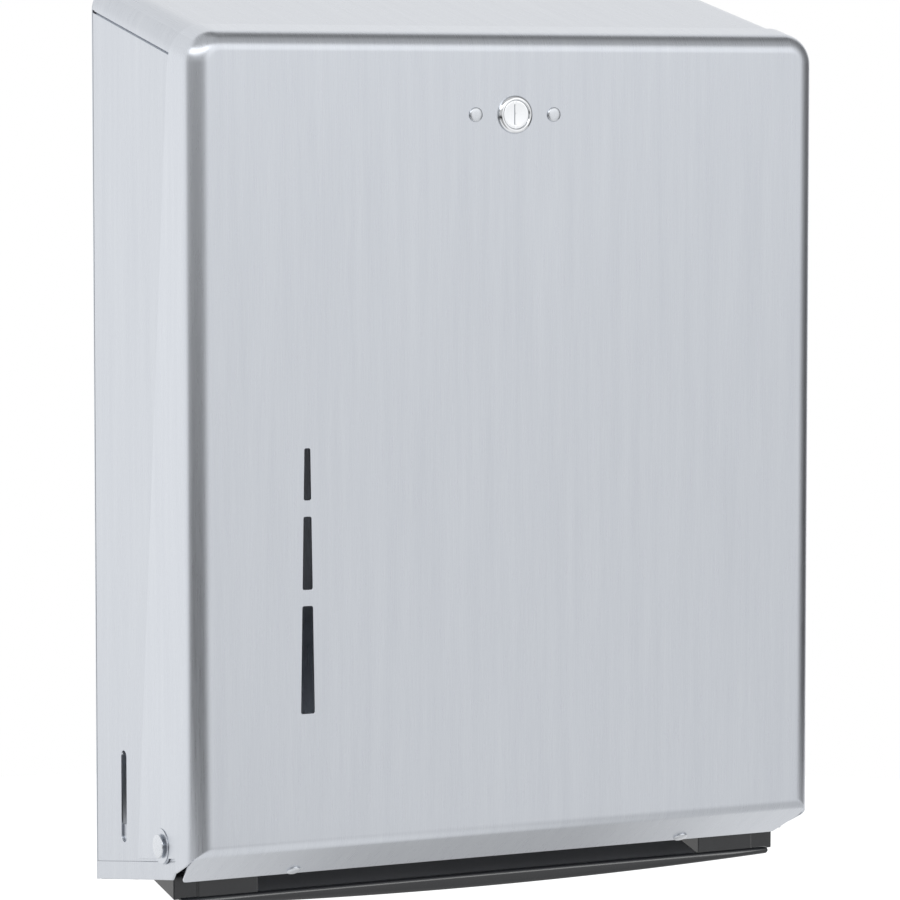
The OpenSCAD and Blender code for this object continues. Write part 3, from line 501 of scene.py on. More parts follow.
def coverPatches():
    # the rolled edge is a canal surface: a ball's middle runs up the sides and round the corners,
    # and each row of points turns from the front direction to the flange's normal n
    r = cover["edgeRadius"]
    flatHalf, swing = coverHalf - r, cornerRadius - r
    lipHalf, lipRear = cover["lipHalf"]
    slit = np.arcsin((lipHalf - flatHalf) / r)
    turns = np.concatenate([np.linspace(0, slit, 16), np.linspace(slit, np.pi / 2, 6)[1:]])
    share = turns / (np.pi / 2)
    rollX, rollD = flatHalf + r * np.sin(turns), r * (1 - np.cos(turns))
    bendTurn = np.pi / 2 - lipSlope
    # the crease is softest along the front and tightens to its ends, by a smooth step of the turn
    creased = turns < slit + 1e-9
    s = np.minimum(turns / slit, 1)
    rollCrease = np.interp(s * s * (3 - 2 * s), (0, 1), cover["creaseRadius"])
    rise = np.tan(bendTurn / 2)
    low = lipAt(rollD) + np.where(creased, rollCrease * rise, 0)
    shoulder = topAt(r, cornerRadius)
    sideH = low + (shoulder - low) * np.linspace(0, 1, 41)[:, None]
    patches = [gridPatch(side * rollX[None], rollD[None], sideH) for side in (-1, 1)]

    # Corners and top: middles, normals and the turn from the front to n
    a = np.radians(np.linspace(0, 90, 17))
    topX = straight([cornerRadius - coverHalf, 0], [coverHalf - cornerRadius, 0])[:, 0]
    runs = [(side * (coverHalf - cornerRadius + swing * np.cos(a)), side, a) for side in (-1, 1)]
    runs.append((topX, 0, np.full(len(topX), np.pi / 2)))
    sine, cosine = np.sin(topSlope), np.cos(topSlope)
    cornerH = cabinet["frontHeight"] - cornerRadius
    lean = (cover["flangeTop"] - cover["topFlange"]) / (topAt(cover["topFlange"], 0) - cornerH)
    frontEdge = []
    for x, side, angle in runs:
        middleH = shoulder + swing * np.sin(angle) / cosine
        nx, nd, nh = side * np.cos(angle), -np.sin(angle) * sine, np.sin(angle) * cosine
        psi = np.arccos(np.sin(angle) * sine)
        t = psi[:, None] * share
        onFront = np.sin(psi[:, None] - t) / np.sin(psi)[:, None]
        onNormal = np.sin(t) / np.sin(psi)[:, None]
        patches.append(gridPatch(
            x[:, None] + r * onNormal * nx[:, None],
            r - r * onFront + r * onNormal * nd[:, None],
            middleH[:, None] + r * onNormal * nh[:, None]))
        # Flange: straight on up the slope to the rear trim line
        d0, h0 = r + r * nd, middleH + r * nh
        reach = cover["flangeTop"] - d0 - lean * (h0 - cornerH)
        reach = reach / (cosine + lean * sine)
        v = reach[:, None] * np.linspace(0, 1, 6)
        flangeD, flangeH = d0[:, None] + v * cosine, h0[:, None] + v * sine
        patches.append(gridPatch((x + r * nx)[:, None] + 0 * v, flangeD, flangeH))
        frontEdge.append(np.stack([x, middleH], -1))
        if side == 1:
            flangeHead = np.stack([flangeD[0], flangeH[0]], -1)

    # Flat front with the slots and the holes for the lock and its rivets
    leftCorner, rightCorner, topLine = frontEdge
    bottomX = straight([-flatHalf, 0], [flatHalf, 0])[:, 0]
    outline = chain(
        np.stack([bottomX, 0 * bottomX + low[0]], -1),
        upright(flatHalf, sideH[:, 0]),
        rightCorner, topLine[::-1], leftCorner[::-1],
        upright(-flatHalf, sideH[:, 0])[::-1])
    lockHeight = cabinet["lockHeight"]
    holes = [*refillSlots(), ring(0, lockHeight, cover["lockHole"], 48)]
    holes += rivetHoles(cabinet["lockRivet"], lockHeight)
    patches.append(sheetPatch(lambda x, h: place(x, 0.0, h), outline, holes))

    # Side flanges: straight foot, an ear round the pin, and a toe beside the lip
    earD, earH = cabinet["hingeDepth"], -cabinet["hingeDrop"]

    def footAt(d):
        return -cover["footDrop"] - d * bottomFall

    tilt = np.degrees(np.arctan(bottomFall))
    reach = (earH - footAt(earD)) * np.cos(np.arctan(bottomFall))
    spread = np.degrees(np.arccos(reach / cover["earRadius"]))
    ear = arc(earD, earH, cover["earRadius"], 270 - tilt + spread, 270 - tilt - spread, 15)
    foot, (toe, toeFoot) = cover["flangeFoot"], cover["toe"]
    outline = chain(
        upright(r, sideH[:, -1]),
        flangeHead,
        zigzag(flangeHead[-1], (cover["flangeTop"], cornerH), (foot, footAt(foot)), ear[0]),
        ear,
        straight(ear[-1], (toe, footAt(toe))),
        straight((toe, footAt(toe)), (toe, toeFoot), 2.0),
        straight((toe, toeFoot), (r, sideH[0, -1]), 3.0))
    points, faces = flatSheet(outline, [ring(earD, earH, cover["pinHole"], 24)], 9.0)
    patches += [(place(side * coverHalf, *points.T), faces) for side in (-1, 1)]

    # Crease: each upright column of the front turns by an arc into the lip's plane
    rollX, rollD, rollCrease = rollX[creased], rollD[creased], rollCrease[creased]
    columnX = np.concatenate([-rollX[:0:-1], bottomX, rollX[1:]])
    columnD = np.concatenate([rollD[:0:-1], 0 * bottomX, rollD[1:]])
    crease = np.concatenate([rollCrease[:0:-1], 0 * bottomX + rollCrease[0], rollCrease[1:]])
    turn = np.linspace(0, bendTurn, 11)[:, None]
    patches.append(gridPatch(
        columnX + 0 * turn,
        columnD + crease * (1 - np.cos(turn)),
        lipAt(columnD) + crease * (rise - np.sin(turn))))

    # Lip, drawn flat as width against the distance along it from the crease
    lipFront = np.stack([columnX, columnD / np.cos(lipSlope) + crease * rise], -1)
    end, corner, plain = cabinet["lipLength"], cover["lipCorner"], cover["lipStraight"]
    outline = chain(
        lipFront,
        straight(lipFront[-1], (lipHalf, plain), 3.0),
        straight((lipHalf, plain), (lipRear, end - corner), 4.0),
        arc(lipRear - corner, end - corner, corner, 0, 90, 6),
        straight((lipRear - corner, end), (corner - lipRear, end)),
        arc(corner - lipRear, end - corner, corner, 90, 180, 6),
        straight((-lipRear, end - corner), (-lipHalf, plain), 4.0),
        straight((-lipHalf, plain), lipFront[0], 3.0))
    holes = rivetHoles(cabinet["guideRivet"], cabinet["guideRivetAlong"])
    patches.append(sheetPatch(onLip, outline, holes, 8.0))
    return patches


coverSheet = makePiece("cover_sheet", coverPatches(), inside=(0, 60, 160))
finishPiece(coverSheet, stainless, "cover", ["front_cover"], sheet, cover["deburr"])
print("cover made:", len(coverSheet.data.polygons), "faces")


# Cabinet: side panels, cap, back and bottom

panel = {
    "frontReturn": 12.0,
    "rearReturn": 14.0,
    "rearBend": 0.7,
    "returnHeights": (1.6, 302.5),  # the front return stops short of the lip and the header
    "seamGap": 0.5,          # side panel's top edge below the cap's joggle
    "footGap": 0.05,         # and its foot above the skirt's
    "slotFromWall": 29.2,
    "slotWidth": 5.4,
    "slotHeight": 38.0,
    "slotDrop": 6.0,
    "pinHole": 2.55,
    "deburr": 0.15,
}


def sidePanelPatches(side):
    # a channel in plan, carried up from the sloping foot to the cap's seam
    front, rear = cabinet["frontEdge"], backDepth
    b, rearB = cabinet["bend"], panel["rearBend"]
    drop = inset + capRadius + panel["seamGap"]
    inner = np.linspace(*panel["returnHeights"], 38)

    def rowsAt(d):
        # heights of one upright line of points at each depth, foot first
        d = np.atleast_1d(d)
        between = np.broadcast_to(inner[:, None], (len(inner), len(d)))
        return np.stack([seamAt(d) + panel["footGap"], *between, topAt(d, drop)])

    turn = np.radians(np.linspace(0, 90, 9))
    frontX, rearX = cabHalf - b + b * np.cos(turn), cabHalf - rearB + rearB * np.cos(turn)
    frontD, rearD = front + b - b * np.sin(turn), rear - rearB + rearB * np.sin(turn)
    patches = [
        gridPatch(side * frontX[None], frontD[None], rowsAt(frontD)),
        gridPatch(side * rearX[None], rearD[None], rowsAt(rearD)),
    ]
    x = np.linspace(cabHalf - b, cabHalf - panel["frontReturn"], 3)
    patches.append(gridPatch(side * x[None], front, inner[:, None] + 0 * x))
    x = np.linspace(cabHalf - rearB, cabHalf - panel["rearReturn"], 3)
    patches.append(gridPatch(side * x[None], rear, rowsAt(0 * x + rear)))
    frontLine, rearLine = (upright(d, rowsAt(d)[:, 0]) for d in (front + b, rear - rearB))
    outline = chain(
        straight(frontLine[0], rearLine[0]), rearLine,
        straight(rearLine[-1], frontLine[-1]), frontLine[::-1])
    slotD, w = cabinet["depth"] - panel["slotFromWall"], panel["slotWidth"] / 2
    foot = w - panel["slotDrop"]
    head = foot + panel["slotHeight"] - 2 * w
    slot = chain(arc(slotD, foot, w, 180, 360, 17), arc(slotD, head, w, 0, 180, 17))
    pin = ring(cabinet["hingeDepth"], -cabinet["hingeDrop"], panel["pinHole"], 24)
    patches.append(sheetPatch(lambda d, h: place(side * cabHalf, d, h), outline, [slot, pin], 9.0))
    return patches


def cabinetSheet(name, node, patches, inside):
    piece = makePiece(name, patches, inside)
    finishPiece(piece, shadedCabinetStainless, "cabinet", [node], sheet, panel["deburr"])


for side, word in bothSides:
    cabinetSheet(word + "_side_sheet", word + "_side_panel", sidePanelPatches(side), (side * 60, 55, 160))

cap = {
    "joggleStart": 11.2,     # drop of the joggle below the cap's top
    "joggle": 1.0,           # height that the joggle takes
    "lapFoot": 19.8,
    "headerHalf": 141.5,
    "strikeRivet": (17.0, 314.7),
}


def capPatches():
    # a section across the slope (x, and w above the cap's top) carried from the header to the wall
    half, r, b = cabHalf, capRadius, cabinet["bend"]
    front, headerHalf, headerFoot = cabinet["frontEdge"], cap["headerHalf"], cabinet["headerFoot"]
    headerTurn = np.degrees(np.arccos((headerHalf - half + r) / r))
    lastTurn = np.degrees(np.arcsin((r - cap["joggleStart"]) / r))
    turn = np.concatenate([np.linspace(90, headerTurn, 9), np.linspace(headerTurn, lastTurn, 6)[1:]])
    turn = np.radians(turn)
    bendRight = np.stack([half - r + r * np.cos(turn), r * np.sin(turn) - r], -1)
    bendLeft = bendRight[::-1] * (-1, 1)
    flat = straight((r - half, 0), (half - r, 0))
    section = np.concatenate([bendLeft, flat[1:-1], bendRight])
    depths = np.concatenate([[front], np.linspace(front + b, backDepth - b, 12), [backDepth]])

    def onSlope(x, w, d):
        return gridPatch(x + 0 * d, d + 0 * x, topAt(d, inset) + w / np.cos(topSlope))

    def edgeAt(d, points):
        # the section's points as width and height at a depth
        return np.stack([points[:, 0], topAt(d, inset) + points[:, 1] / np.cos(topSlope)], -1)

    patches = [onSlope(section[None, :, 0], section[None, :, 1], depths[:, None])]
    # Laps behind the side panels: an S-shaped joggle, one sheet deep, then straight down
    s = np.linspace(0, 1, 9)
    start, end = cap["joggleStart"], -cap["joggleStart"] - cap["joggle"]
    outX = bendRight[-1, 0]
    lapX = np.concatenate([
        outX - (outX - half + sheet) * s * s * (3 - 2 * s), np.full(4, half - sheet)])
    lapW = np.concatenate([-start - cap["joggle"] * s, np.linspace(end, -cap["lapFoot"], 5)[1:]])
    patches += [onSlope(side * lapX[None], lapW[None], depths[1:-1, None]) for side in (-1, 1)]
    # Header at the front and the flange at the wall
    edge = edgeAt(front, section[np.abs(section[:, 0]) < headerHalf + 1e-6])
    outline = chain(straight((-headerHalf, headerFoot), (headerHalf, headerFoot)), edge[::-1])
    holes = rivetHoles(*cap["strikeRivet"])
    patches.append(sheetPatch(lambda x, h: place(x, front, h), outline, holes, 8.0))
    edge = edgeAt(backDepth, section)
    outline = chain(edge[::-1], straight(edge[0], edge[-1]))
    patches.append(sheetPatch(lambda x, h: place(x, backDepth, h), outline, net=8.0))
    return patches


cabinetSheet("cap_sheet", "top_panel", capPatches(), (0, 55, 300))

back = {
    "screwSpan": (203.2, 228.6),
    "screwMiddle": 161.0,
    "screwHole": 3.2,
    "skirt": 7.5,            # height of the skirts under the sides
    "skirtFront": 24.0,      # the skirts' lower front corners, cut back
    "skirtFoot": 5.0,        # what lies further below the seam is their foot
    "skirtDeburr": 0.2,
}


def backPatches():
    # a flat plate under the cap's own rounding, with the four wall-screw holes
    foot = seamAt(cabinet["depth"]) - back["skirt"]
    head, r = topAt(backDepth, inset), capRadius
    outline = chain(
        zigzag((-cabHalf, foot), (cabHalf, foot), (cabHalf, head - r)),
        arc(cabHalf - r, head - r, r, 0, 90, 13),
        straight((cabHalf - r, head), (r - cabHalf, head)),
        arc(r - cabHalf, head - r, r, 90, 180, 13),
        straight((-cabHalf, head - r), (-cabHalf, foot)))
    x, z = np.array(back["screwSpan"]) / 2
    middle, hole = back["screwMiddle"], back["screwHole"]
    holes = [ring(i * x, middle + j * z, hole, 28) for i in (-1, 1) for j in (-1, 1)]
    return [sheetPatch(lambda x, h: place(x, cabinet["depth"], h), outline, holes)]


def cutSkirts(mesh):
    # the skirts' lower front corners move back along their foot
    spots = np.zeros(len(mesh.vertices) * 3)
    mesh.vertices.foreach_get("co", spots)
    x, d, h = (spots.reshape(-1, 3) * 1000 + (0, cabinet["depth"], -cabinet["creaseZ"])).T
    corner = (d < back["skirtFront"]) & (h < seamAt(d) - back["skirtFoot"])
    d = np.where(corner, back["skirtFront"], d)
    h = np.where(corner, seamAt(d) - back["skirt"], h)
    mesh.vertices.foreach_set("co", place(x, d, h).ravel())
    print("skirt corners cut back:", int(corner.sum()))


cabinetSheet("back_sheet", "back_panel", backPatches(), (0, 50, 160))
bottom = softened("bottom_frame", "bottom_sheet")
cutSkirts(bottom.data)
finishPiece(bottom, shadedCabinetStainless, "cabinet", ["bottom_frame"], edge=back["skirtDeburr"])
print("cabinet sheets made")


# Towel guide: bowed rail, shelf, and a hollow block with a tab at each end

guide = {
    "front": 27.0,
    "blockDepth": 22.0,
    "blockIn": 104.0,        # inner wall of the blocks, from the middle
    "blockOut": 141.0,
    "blockTop": -12.0,
    "blockLow": 0.8,         # the blocks' foot below the rail's top
    "wall": 2.2,
    "stepX": 130.5,
    "step": 0.8,             # set-back of the outer end panel
    "railHalf": 138.4,
    "railProud": 1.4,
    "railThick": 4.0,
    "railTop": -22.6,
    "railFoot": -25.6,       # at its ends
    "bow": 3.3,
    "railRound": 1.9,
    "shelfDepth": 19.0,
    "shelfSlope": 14.0,
    "shelfStep": 0.4,
    "tabFront": 15.5,
    "tabReach": 20.0,
    "tabThick": 2.2,
    "tabShort": 5.0,         # the tabs' outer ends short of the blocks'
    "tabInset": 0.4,         # their rear edge short of the lip's
    "tabCorner": 1.2,
    "web": (22.5, 27.8, -12.1, -13.9),  # depths and heights of the web between tab and block
    "webSlant": 1.1,
    "webEnds": (0.5, 1.0),   # its ends within the block and short of the tab's end
    "webEdge": 0.3,
    "edge": 0.45,
}
railMiddle = guide["front"] - guide["railProud"] + guide["railThick"] / 2


def railPatches():
    # a closed section, round below and with eased top edges, carried along the bow: its foot is an
    # arc of a large circle, and the section shrinks about its middle to round the two ends
    half, bow = guide["railHalf"], guide["bow"]
    bigRadius = (half ** 2 + bow ** 2) / (2 * bow)
    easing = np.radians(np.linspace(0, 90, 6))
    ends, shrink = guide["railThick"] / 4 * np.sin(easing), 0.5 + 0.5 * np.cos(easing)
    plain = half - ends[-1]
    x = np.concatenate([-plain - ends[::-1], np.linspace(-plain, plain, 97)[1:-1], plain + ends])
    size = np.concatenate([shrink[::-1], np.ones(95), shrink])[:, None]
    foot = guide["railFoot"] - bow + bigRadius - np.sqrt(bigRadius ** 2 - x ** 2)
    r, e = guide["railThick"] / 2, guide["railRound"]
    bead = arc(0, 0, r, 180, 360, 17)
    top = np.concatenate([arc(r - e, -e, e, 0, 90, 5), arc(e - r, -e, e, 90, 180, 5)])
    d = np.concatenate([bead[:, 0], top[:, 0]])[None] + 0 * x[:, None]
    topH = np.broadcast_to(top[:, 1] + guide["railTop"], (len(x), len(top)))
    h = np.concatenate([bead[:, 1] + foot[:, None] + r, topH], axis=1)
    middle = (h.max(1) + h.min(1))[:, None] / 2
    return barPatches(x[:, None], railMiddle + d * size, middle + (h - middle) * size)


def shelfPatches():
    # a sloping plate with a round rear edge, carried across between the blocks
    w, slope = guide["wall"], guide["shelfSlope"]
    start = np.array([railMiddle, guide["railTop"] - guide["shelfStep"]])
    run = guide["front"] + guide["shelfDepth"] - start[0]
    rear = start + run * np.array([1, np.tan(np.radians(slope))])
    nose = arc(rear[0], rear[1] - w / 2, w / 2, 90 + slope, slope - 90, 11)
    loop = np.concatenate([[start], nose, [start - (0, w)]])
    half = guide["blockIn"] + w / 2
    x = np.linspace(-half, half, 27)[:, None]
    return barPatches(x, loop[:, 0] + 0 * x, loop[:, 1] + 0 * x)


def blockPatches(side):
    # an upright wall that runs forward, along the stepped front and back again, under a flat top
    front, rear, top = guide["front"], guide["front"] + guide["blockDepth"], guide["blockTop"]
    inX, stepX, outX, stepD = guide["blockIn"], guide["stepX"], guide["blockOut"], front + guide["step"]
    plan = chain(zigzag(
        (inX, rear), (inX, front), (stepX, front), (stepX, stepD), (outX, stepD), (outX, rear), step=4.0))
    behind = np.maximum(plan[:, 1] - stepD, 0)
    foot = guide["railTop"] - guide["blockLow"] + behind * np.tan(np.radians(guide["shelfSlope"]))
    h = foot + (top - foot) * np.linspace(0, 1, 4)[:, None]
    walls = gridPatch(side * plan[None, :, 0] + 0 * h, plan[None, :, 1] + 0 * h, h)
    outline = chain(plan, straight(plan[-1], plan[0], 4.0))
    return [walls, sheetPatch(lambda x, d: place(side * x, d, top), outline, net=5.0)]


def tabPatches(side):
    # a plate on the lip's inner face, with the rivet's hole, drawn along the lip
    start, end = guide["blockIn"] - guide["tabReach"], guide["blockOut"] - guide["tabShort"]
    front, reach = guide["tabFront"], cabinet["lipLength"] - guide["tabInset"]
    corners = [(start, front), (end, front), (end, reach), (start, reach)]
    hole = rivetHoles(cabinet["guideRivet"], cabinet["guideRivetAlong"])[1]
    outline = roundedOutline(corners, guide["tabCorner"])
    return [sheetPatch(lambda x, along: onLip(side * x, along, sheet), outline, [hole], 5.0)]


def webPatches(side):
    # a four-sided bar, carried across from the block's inner wall to the tab's outer end
    front, rear, top, foot = guide["web"]
    inner, outer = guide["webEnds"]
    loop = np.array([(front, top), (rear, top), (rear, foot), (front + guide["webSlant"], foot)])
    end = guide["blockOut"] - guide["tabShort"] - outer
    x = side * np.linspace(guide["blockIn"] + inner, end, 5)[:, None]
    return barPatches(x, loop[:, 0] + 0 * x, loop[:, 1] + 0 * x)


def guidePiece(name, patches, inside=None, material=blackPlastic, nodes=(), wall=0.0, edge=0.0, segments=2):
    piece = makePiece("guide_" + name, patches, inside)
    return finishPiece(piece, material, "cover", nodes, wall, edge, segments)


# the shelf, rail and blocks are left out of what metal mirrors, so that the lip shows the floor
unmirrored = [
    guidePiece("shelf", shelfPatches(), material=shelfPaintedLight),
    guidePiece("rail", railPatches(), nodes=["towel_guide"]),
]
for side, word in bothSides:
    unmirrored.append(guidePiece(
        word + "_block", blockPatches(side), (side * 122, 42, -22),
        wall=guide["wall"], edge=guide["edge"], segments=3))
    guidePiece(word + "_web", webPatches(side), edge=guide["webEdge"])
    guidePiece(
        word + "_tab", tabPatches(side), (side * 100, 60, 0),
        wall=guide["tabThick"], edge=guide["edge"], segments=3)
for piece in unmirrored:
    piece.visible_glossy = False
print("towel guide made")


# Turned pieces: rivets, pins, washers and the lock

turnedPiece = {
    "steps": 72,
    "rivetHead": (3.0, 1.0),     # radius and height
    "rivetShank": 1.5,
    "clench": (2.4, 0.9),
    "pinHead": (4.9, 1.6),
    "pinNeck": (2.8, 1.0),       # under the head
    "pin": 2.5,
    "pinEase": 0.35,             # the head's rim
    "pinDish": 0.15,             # the crown of its face
    "pinClench": 0.9,
    "washer": (7.2, 0.3),
    "burr": (4.5, 0.8),
    "guideWasher": (3.5, 0.6),
    "runFit": 0.05,
    "deburr": 0.12,
}


def atLock(x):
    # local z runs into the cabinet from the front face
    return lambda p: place(x + p[:, 0], p[:, 2], cabinet["lockHeight"] - p[:, 1])


def besideLock(side):
    return atLock(side * cabinet["lockRivet"])


def atHinge(side):
    # local z runs outwards along the hinge axis
    return lambda p: place(
        side * p[:, 2], cabinet["hingeDepth"] + p[:, 0], p[:, 1] - cabinet["hingeDrop"])


def atGuideRivet(side):
    # local y runs along the lip, local z inwards from its outer face
    x, along = side * cabinet["guideRivet"], cabinet["guideRivetAlong"]
    return lambda p: onLip(x + p[:, 0], along + p[:, 1], p[:, 2])


def atHeader(side):
    # local z runs into the cabinet from the header's front
    x, height = cap["strikeRivet"]
    return lambda p: place(side * x + p[:, 0], cabinet["frontEdge"] + p[:, 2], height - p[:, 1])


def turned(profile, put, steps=turnedPiece["steps"]):
    # a profile of radius and height turned about local z, then put in place
    a = np.linspace(0, 2 * np.pi, steps, endpoint=False)
    radius, height = np.asarray(profile, float).T[:, :, None]
    local = np.stack([radius * np.cos(a), radius * np.sin(a), height + 0 * a], -1)
    return put(local.reshape(-1, 3)), gridQuads(len(radius), steps, wrap=True)


def crown(radius, height, power=3.6, steps=17):
    # a button head from its top to its rim: a superellipse in radius and height
    q = np.linspace(0, np.pi / 2, steps)
    return np.stack([radius * np.sin(q) ** (2 / power), -height * np.cos(q) ** (2 / power)], -1)


def rivetProfile(grip):
    # head above z = 0, shank, and a clenched end past the grip
    shank = turnedPiece["rivetShank"]
    tail = crown(*turnedPiece["clench"], power=2.0)[::-1] * (1, -1) + (0, grip)
    return np.concatenate([crown(*turnedPiece["rivetHead"]), [(shank, 0), (shank, grip)], tail])


def washerProfile(outer, inner, low, high):
    # a flat ring's section with eased corners, closed on itself
    corners = [(inner, low), (outer, low), (outer, high), (inner, high)]
    loop = roundedOutline(corners, turnedPiece["deburr"], 4)
    return np.concatenate([loop, loop[:1]])


def pinProfile():
    # clenched end inside, shank, and outside a neck under a flat head with an eased rim
    (burrRadius, burrHigh), (neck, gap) = turnedPiece["burr"], turnedPiece["pinNeck"]
    inner = cabHalf - sheet - burrHigh
    seat = coverHalf + turnedPiece["runFit"] + turnedPiece["washer"][1]
    radius, height = turnedPiece["pinHead"]
    shank, ease, dish = turnedPiece["pin"], turnedPiece["pinEase"], turnedPiece["pinDish"]
    tail = crown(burrRadius - burrHigh, turnedPiece["pinClench"], power=2.0) + (0, inner)
    rim = arc(radius - ease, seat + height - ease - dish, ease, 0, 90, 7)
    q = np.linspace(1, 0, 9)
    top = np.stack([(radius - ease) * q, seat + height - dish * q ** 2], -1)
    neckLine = [(neck, seat), (neck, seat + gap), (radius, seat + gap)]
    return np.concatenate([tail, [(shank, inner), (shank, seat)], neckLine, rim, top[1:]])


def turnedPair(name, body, profile, put, material=polished):
    # left and right as one piece; put takes the side
    pair = makePiece(name + "_pair", [turned(profile, put(side)) for side in (-1, 1)])
    finishPiece(pair, material, body, [name + "s"])


plateRivet = rivetProfile(sheet + cabinet["plate"])
tabBack, (radius, thick) = sheet + guide["tabThick"], turnedPiece["guideWasher"]
turnedPair("lock_rivet", "cover", plateRivet, besideLock)
turnedPair("guide_rivet", "cover", rivetProfile(tabBack + thick), atGuideRivet)
profile = washerProfile(radius, cabinet["rivetHole"], tabBack, tabBack + thick)
turnedPair("guide_washer", "cover", profile, atGuideRivet)
turnedPair("strike_rivet", "cabinet", plateRivet, atHeader)
turnedPair("hinge_pin", "cabinet", pinProfile(), atHinge)
seat, (radius, thick) = coverHalf + turnedPiece["runFit"], turnedPiece["washer"]
profile = washerProfile(radius, panel["pinHole"], seat, seat + thick)
turnedPair("hinge_washer", "cabinet", profile, atHinge, stainless)
inner, (radius, thick) = cabHalf - sheet, turnedPiece["burr"]
profile = washerProfile(radius, panel["pinHole"], inner - thick, inner)
turnedPair("hinge_burr", "cabinet", profile, atHinge)

lock = {
    "steps": 96,
    "ringRadius": 7.9,
    "ringHeight": 1.8,
    "ringRoll": 1.6,         # the ring's crest, from its rim
    "ringHollow": 0.7,       # its fall from there to the disc
    "barrel": 6.7,
    "barrelRear": 16.3,
    "discRadius": 5.8,
    "discFront": -1.2,
    "discDepth": 3.0,
    "discEase": 0.25,
    "spindle": 4.9,
    "spindleRear": 16.6,
    "slit": (0.42, 8.4),     # width and height of the key slit
    "slitX": -0.7,
    "slitDepth": 1.2,
    "dish": 0.12,            # hollow of the disc's face
    "groove": (2.1, 2.95, 6.1),
    "fit": 0.05,
}


def barrelProfile():
    # a rolled front ring, hollow towards the disc, and the plain barrel behind it
    r, h, barrel = lock["ringRadius"], lock["ringHeight"], lock["barrel"]
    bore, spindle = lock["discRadius"] + lock["fit"], lock["spindle"] + lock["fit"]
    rim = r - lock["ringRoll"]
    outer = arc(0, 0, 1, 0, 90, 17) * (r - rim, -h) + (rim, 0)
    fold = arc(rim, 0, 1, 90, 180, 9)
    fold = np.stack([
        rim + (fold[:, 0] - rim) * (rim - bore), -h + (1 - fold[:, 1]) * lock["ringHollow"]], -1)
    rear, (start, end, groove) = lock["barrelRear"], lock["groove"]
    floor = lock["discFront"] + lock["discDepth"] + lock["fit"]
    return np.array([
        (barrel, 0), *outer, *fold, (bore, floor), (spindle, floor), (spindle, rear), (barrel, rear),
        (barrel, end), (groove, end), (groove, start), (barrel, start), (barrel, 0)])


def plugPatches():
    # a slightly hollow face with the key slit, its rim, the spindle behind it and the slit's walls
    put, front, disc, ease = atLock(0), lock["discFront"], lock["discRadius"], lock["discEase"]
    width, height = lock["slit"]
    x0, x1, y = lock["slitX"] - width / 2, lock["slitX"] + width / 2, height / 2
    slit = roundedOutline([(x0, -y), (x1, -y), (x1, y), (x0, y)], width / 2.5, 5)
    face = disc - ease

    def dished(points):
        # points of the face with its hollow: deepest in the middle, by the square of the radius
        radius = np.linalg.norm(points, axis=1)
        return np.column_stack([points, front + lock["dish"] * (1 - (radius / face) ** 2)])

    points, faces = flatSheet(ring(0, 0, face, lock["steps"]), [slit], 0.8)
    patches = [(put(dished(points)), faces)]
    edge = arc(face, front + ease, ease, -90, 0, 5)
    rear, spindle, end = front + lock["discDepth"], lock["spindle"], lock["spindleRear"]
    profile = np.concatenate([edge, [(disc, rear), (spindle, rear), (spindle, end), (0, end)]])
    patches.append(turned(profile, put, lock["steps"]))
    count = len(slit)
    floor = np.column_stack([slit, np.full(count, front + lock["slitDepth"])])
    patches.append((put(np.concatenate([dished(slit), floor])), gridQuads(2, count, wrap=True)))
    patches.append((put(floor), np.arange(count)[None]))
    return patches


barrel = makePiece("lock_barrel_turned", [turned(barrelProfile(), atLock(0), lock["steps"])])
finishPiece(barrel, chrome, "cover", ["lock_barrel"])
plug = makePiece("lock_plug_turned", plugPatches())
finishPiece(plug, chrome, "lock", ["lock_plug"])
plated = (("latch_strike", "cabinet"), ("lock_plate", "cover"), ("lock_clip", "cover"),
          ("lock_cam", "lock"), ("cam_washer", "lock"), ("cam_screw", "lock"))
for node, body in plated:
    piece = softened(node, node + "_plated")
    finishPiece(piece, zinc, body, [node], edge=turnedPiece["deburr"])
print("rivets, pins and lock made")


# Stage: camera, floor, room and lamps

view = {"place": (-0.8679, -1.7224, 0.138), "yaw": 27.35, "pitch": 4.45, "lens": 180.0}
cameraData = bpy.data.cameras.new("camera")
cameraData.lens = view["lens"]
cameraData.sensor_width = 36.0
camera = addObject("camera", cameraData)
camera.location = view["place"]
camera.rotation_euler = np.radians((90 - view["pitch"], 0, -view["yaw"]))
bpy.context.scene.camera = camera

floor = {
    "height": -0.30, "radius": 1.0, "steps": 96, "albedo": "#e6e7e8", "glow": 0.62,
    # levels that metal shows, and the metres across (x) or along (y) over which each sets in
    "mirrored": 0.9,                                  # well ahead
    "near": (0.95, 0.70), "nearX": (0.02, 0.16), "nearY": (-0.4, -0.25),  # just ahead, left and right
    # painted shadow: metal sees the floor glow less under the object, standing in for the object's shadow
    # there
    "shade": (0.86, 0.53, 0.95),                      # under the object: left, middle and right
    "shadeX": ((-0.075, 0.01), (0.13, 0.215)), "shadeY": (-0.12, -0.01),
    "rear": 1.12, "rearY": (0.12, 0.45),
    "dim": 0.36, "dimX": (0.08, -0.12), "dimY": (-0.28, -0.5),  # ahead to the left
}


